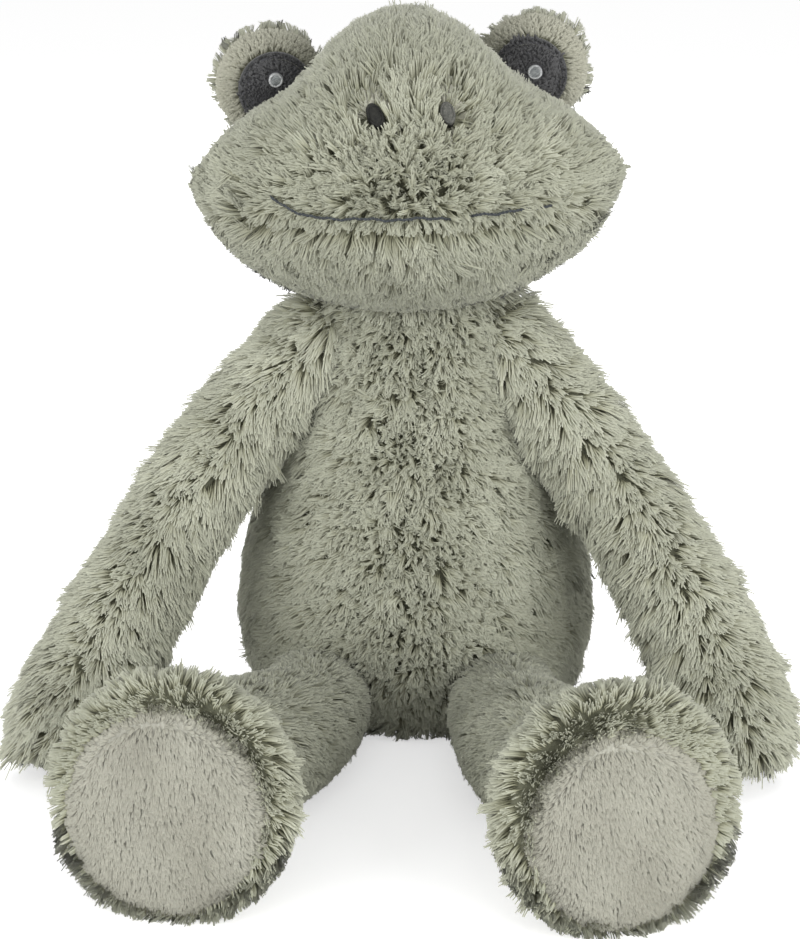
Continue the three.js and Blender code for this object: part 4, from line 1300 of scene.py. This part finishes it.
class FROG_OT_mouth(bpy.types.Operator):
    """Draws the two-ply mouth thread along its furrow"""
    bl_idname = "frog.mouth"
    bl_label = "Mouth"

    def execute(self, context):
        face = settings("frog_face")
        half = face.mouth_half / MM
        x = np.linspace(-half, half, 220)
        wave = 0.18 * np.sin(x * 0.9) + 0.25 * np.sin(x * 0.37 + 1) + 0.08 * np.sin(x * 2.3)
        curl = 5.5 * np.clip((-x - 33) / 12, 0, 1) ** 1.4
        sink = (0.7 + 0.3 * np.sin(x * 0.55) + 3.6 * np.exp(-((x - 14.5) / 4.6) ** 4)
                + 2.4 * np.clip((x - 31) / 6, 0, 1))
        plies = []
        for ply in (0, math.pi):
            to_side, up = polar(0.24, x * 2.6 + ply)
            plies.append(on_face(x, mouth_height(x) + wave + curl + up, sink + to_side))
        lay_threads("mouth_thread", plies, face.thread / MM * 0.56, "mouth_rayon", "dark_thread", "mouth_stitch")
        return {"FINISHED"}


class FROG_OT_soles(bpy.types.Operator):
    """Sews the padded short-pile soles and lays their nap"""
    bl_idname = "frog.soles"
    bl_label = "Soles"

    def execute(self, context):
        for side, name in SIDE_NAMES.items():
            radius = SOLE["radius"][side]
            line, _ = limb_line("leg", side)
            spot = Spot(sole_middle(side), unit(line[-1] - line[-3]))

            def dome(r):
                share = np.clip(np.asarray(r, float) / radius, 0, 1)
                return -5.4 + 3.0 * (1 - share ** 6) ** 0.5 + 1.2 * (1 - share ** 2)

            def hollows(points):
                """Small swells and hollows of the stuffing, which fade towards the seam."""
                away = np.linalg.norm(spot.seen(points)[1], axis=1)
                swell = 0.55 * cloudy(points, 0.026, 5 + side) * np.clip((radius - away) / 8, 0, 1)
                return swell[:, None] * spot.facing * MM

            rings = np.concatenate([radius - 3.0 * (1 - np.cos(np.linspace(0.2, 1.4, 6))), np.linspace(26, 1, 14)])
            profile = [(radius, -6.2)] + [(radius, -5.4)] + [(float(r), float(dome(r))) for r in rings[1:]]
            sole = inset_disc(f"{name}_sole_plush", profile, spot, "sole_plush", 72)
            points = points_of(sole.data)
            set_points(sole.data, points + hollows(points))
            sew_on(sole, f"{name}_leg", "short_pile", f"{name}_sole")
            r = np.linspace(0.5, radius - 0.3, 26)[:, None]
            cap = spot.at(*polar(r, around(60)), dome(r)) * MM
            cap += hollows(cap.reshape(-1, 3)).reshape(cap.shape)

            def lay(root, normal):
                p = root / MM - spot.middle
                x, y = p @ spot.across, p @ spot.over
                away = np.hypot(x, y)
                rim = np.clip((away - radius + 7) / 5, 0, 1)
                out = (x[:, None] * spot.across + y[:, None] * spot.over) / away[:, None]
                way = -spot.over + (0.014 * x - 0.2)[:, None] * spot.across
                way = way * (1 - rim[:, None]) + out * rim[:, None]
                return way, 30 + 12 * rim, 9 + 6 * rim, 1 - 0.3 * rim, 0.15, 1

            grow_pile(f"{name}_sole_nap", f"{name}_leg", cap, lay, 95 + side, finish="sole_nap",
                      depth=0.9 * MM, tufts=1.3, strands=8, width=0.27 * MM, spread=0.5, sink=0.2, tone=0.45,
                      wild=0.5, outward=spot.facing)
        return {"FINISHED"}


class FROG_OT_neck(bpy.types.Operator):
    """Fills the seam between the body and the head with pile"""
    bl_idname = "frog.neck"
    bl_label = "Neck"

    def execute(self, context):
        rings = [(4, 150), (19, 150), (23, 151), (24.5, 153), (25, 156), (24, 159), (20, 161), (4, 162)]
        grid = np.array([[(r * math.sin(a), TORSO["neck_y"] - r * math.cos(a) * 0.95, z) for a in around(48)]
                         for r, z in rings]) * MM
        skin = closed_skin("neck_skin", grid)
        sew_on(skin, "neck", "long_pile", "neck_seam")
        grow_pile("neck_pile", "neck", grid, lambda root, normal: (np.array([0, 0, -1.0]), 66, 30, 0.95, 0.3, 1), 45,
                  keep=lambda root, normal: np.abs(normal[:, 2]) < 0.7, tone=0.4)
        return {"FINISHED"}


STEPS = [FROG_OT_stage, FROG_OT_skins, FROG_OT_torso_pile, FROG_OT_head_pile, FROG_OT_pod_pile, FROG_OT_arm_pile,
         FROG_OT_leg_pile, FROG_OT_neck, FROG_OT_eyes, FROG_OT_nostrils, FROG_OT_mouth, FROG_OT_soles]


class FROG_PT_panel(bpy.types.Panel):
    """Lists the steps that make the frog"""
    bl_label = "Plush frog"
    bl_idname = "FROG_PT_panel"
    bl_space_type = "VIEW_3D"
    bl_region_type = "UI"
    bl_category = "Frog"

    def draw(self, context):
        for group in GROUPS:
            values = getattr(context.scene, group)
            box = self.layout.box()
            for key in values.__annotations__:
                box.prop(values, key)
        for step in STEPS:
            self.layout.operator(step.bl_idname)


CLASSES = [*GROUPS.values(), *STEPS, FROG_PT_panel]


def register():
    for kind in CLASSES:
        bpy.utils.register_class(kind)
    for name, group in GROUPS.items():
        setattr(bpy.types.Scene, name, bpy.props.PointerProperty(type=group))


def unregister():
    for name in GROUPS:
        delattr(bpy.types.Scene, name)
    for kind in reversed(CLASSES):
        bpy.utils.unregister_class(kind)


def main():
    register()
    bpy.ops.frog.stage()
    bpy.ops.frog.skins()
    bpy.ops.frog.torso_pile()
    bpy.ops.frog.head_pile()
    bpy.ops.frog.pod_pile()
    bpy.ops.frog.arm_pile()
    bpy.ops.frog.leg_pile()
    bpy.ops.frog.neck()
    bpy.ops.frog.eyes()
    bpy.ops.frog.nostrils()
    bpy.ops.frog.mouth()
    bpy.ops.frog.soles()


if __name__ == "__main__":
    main()
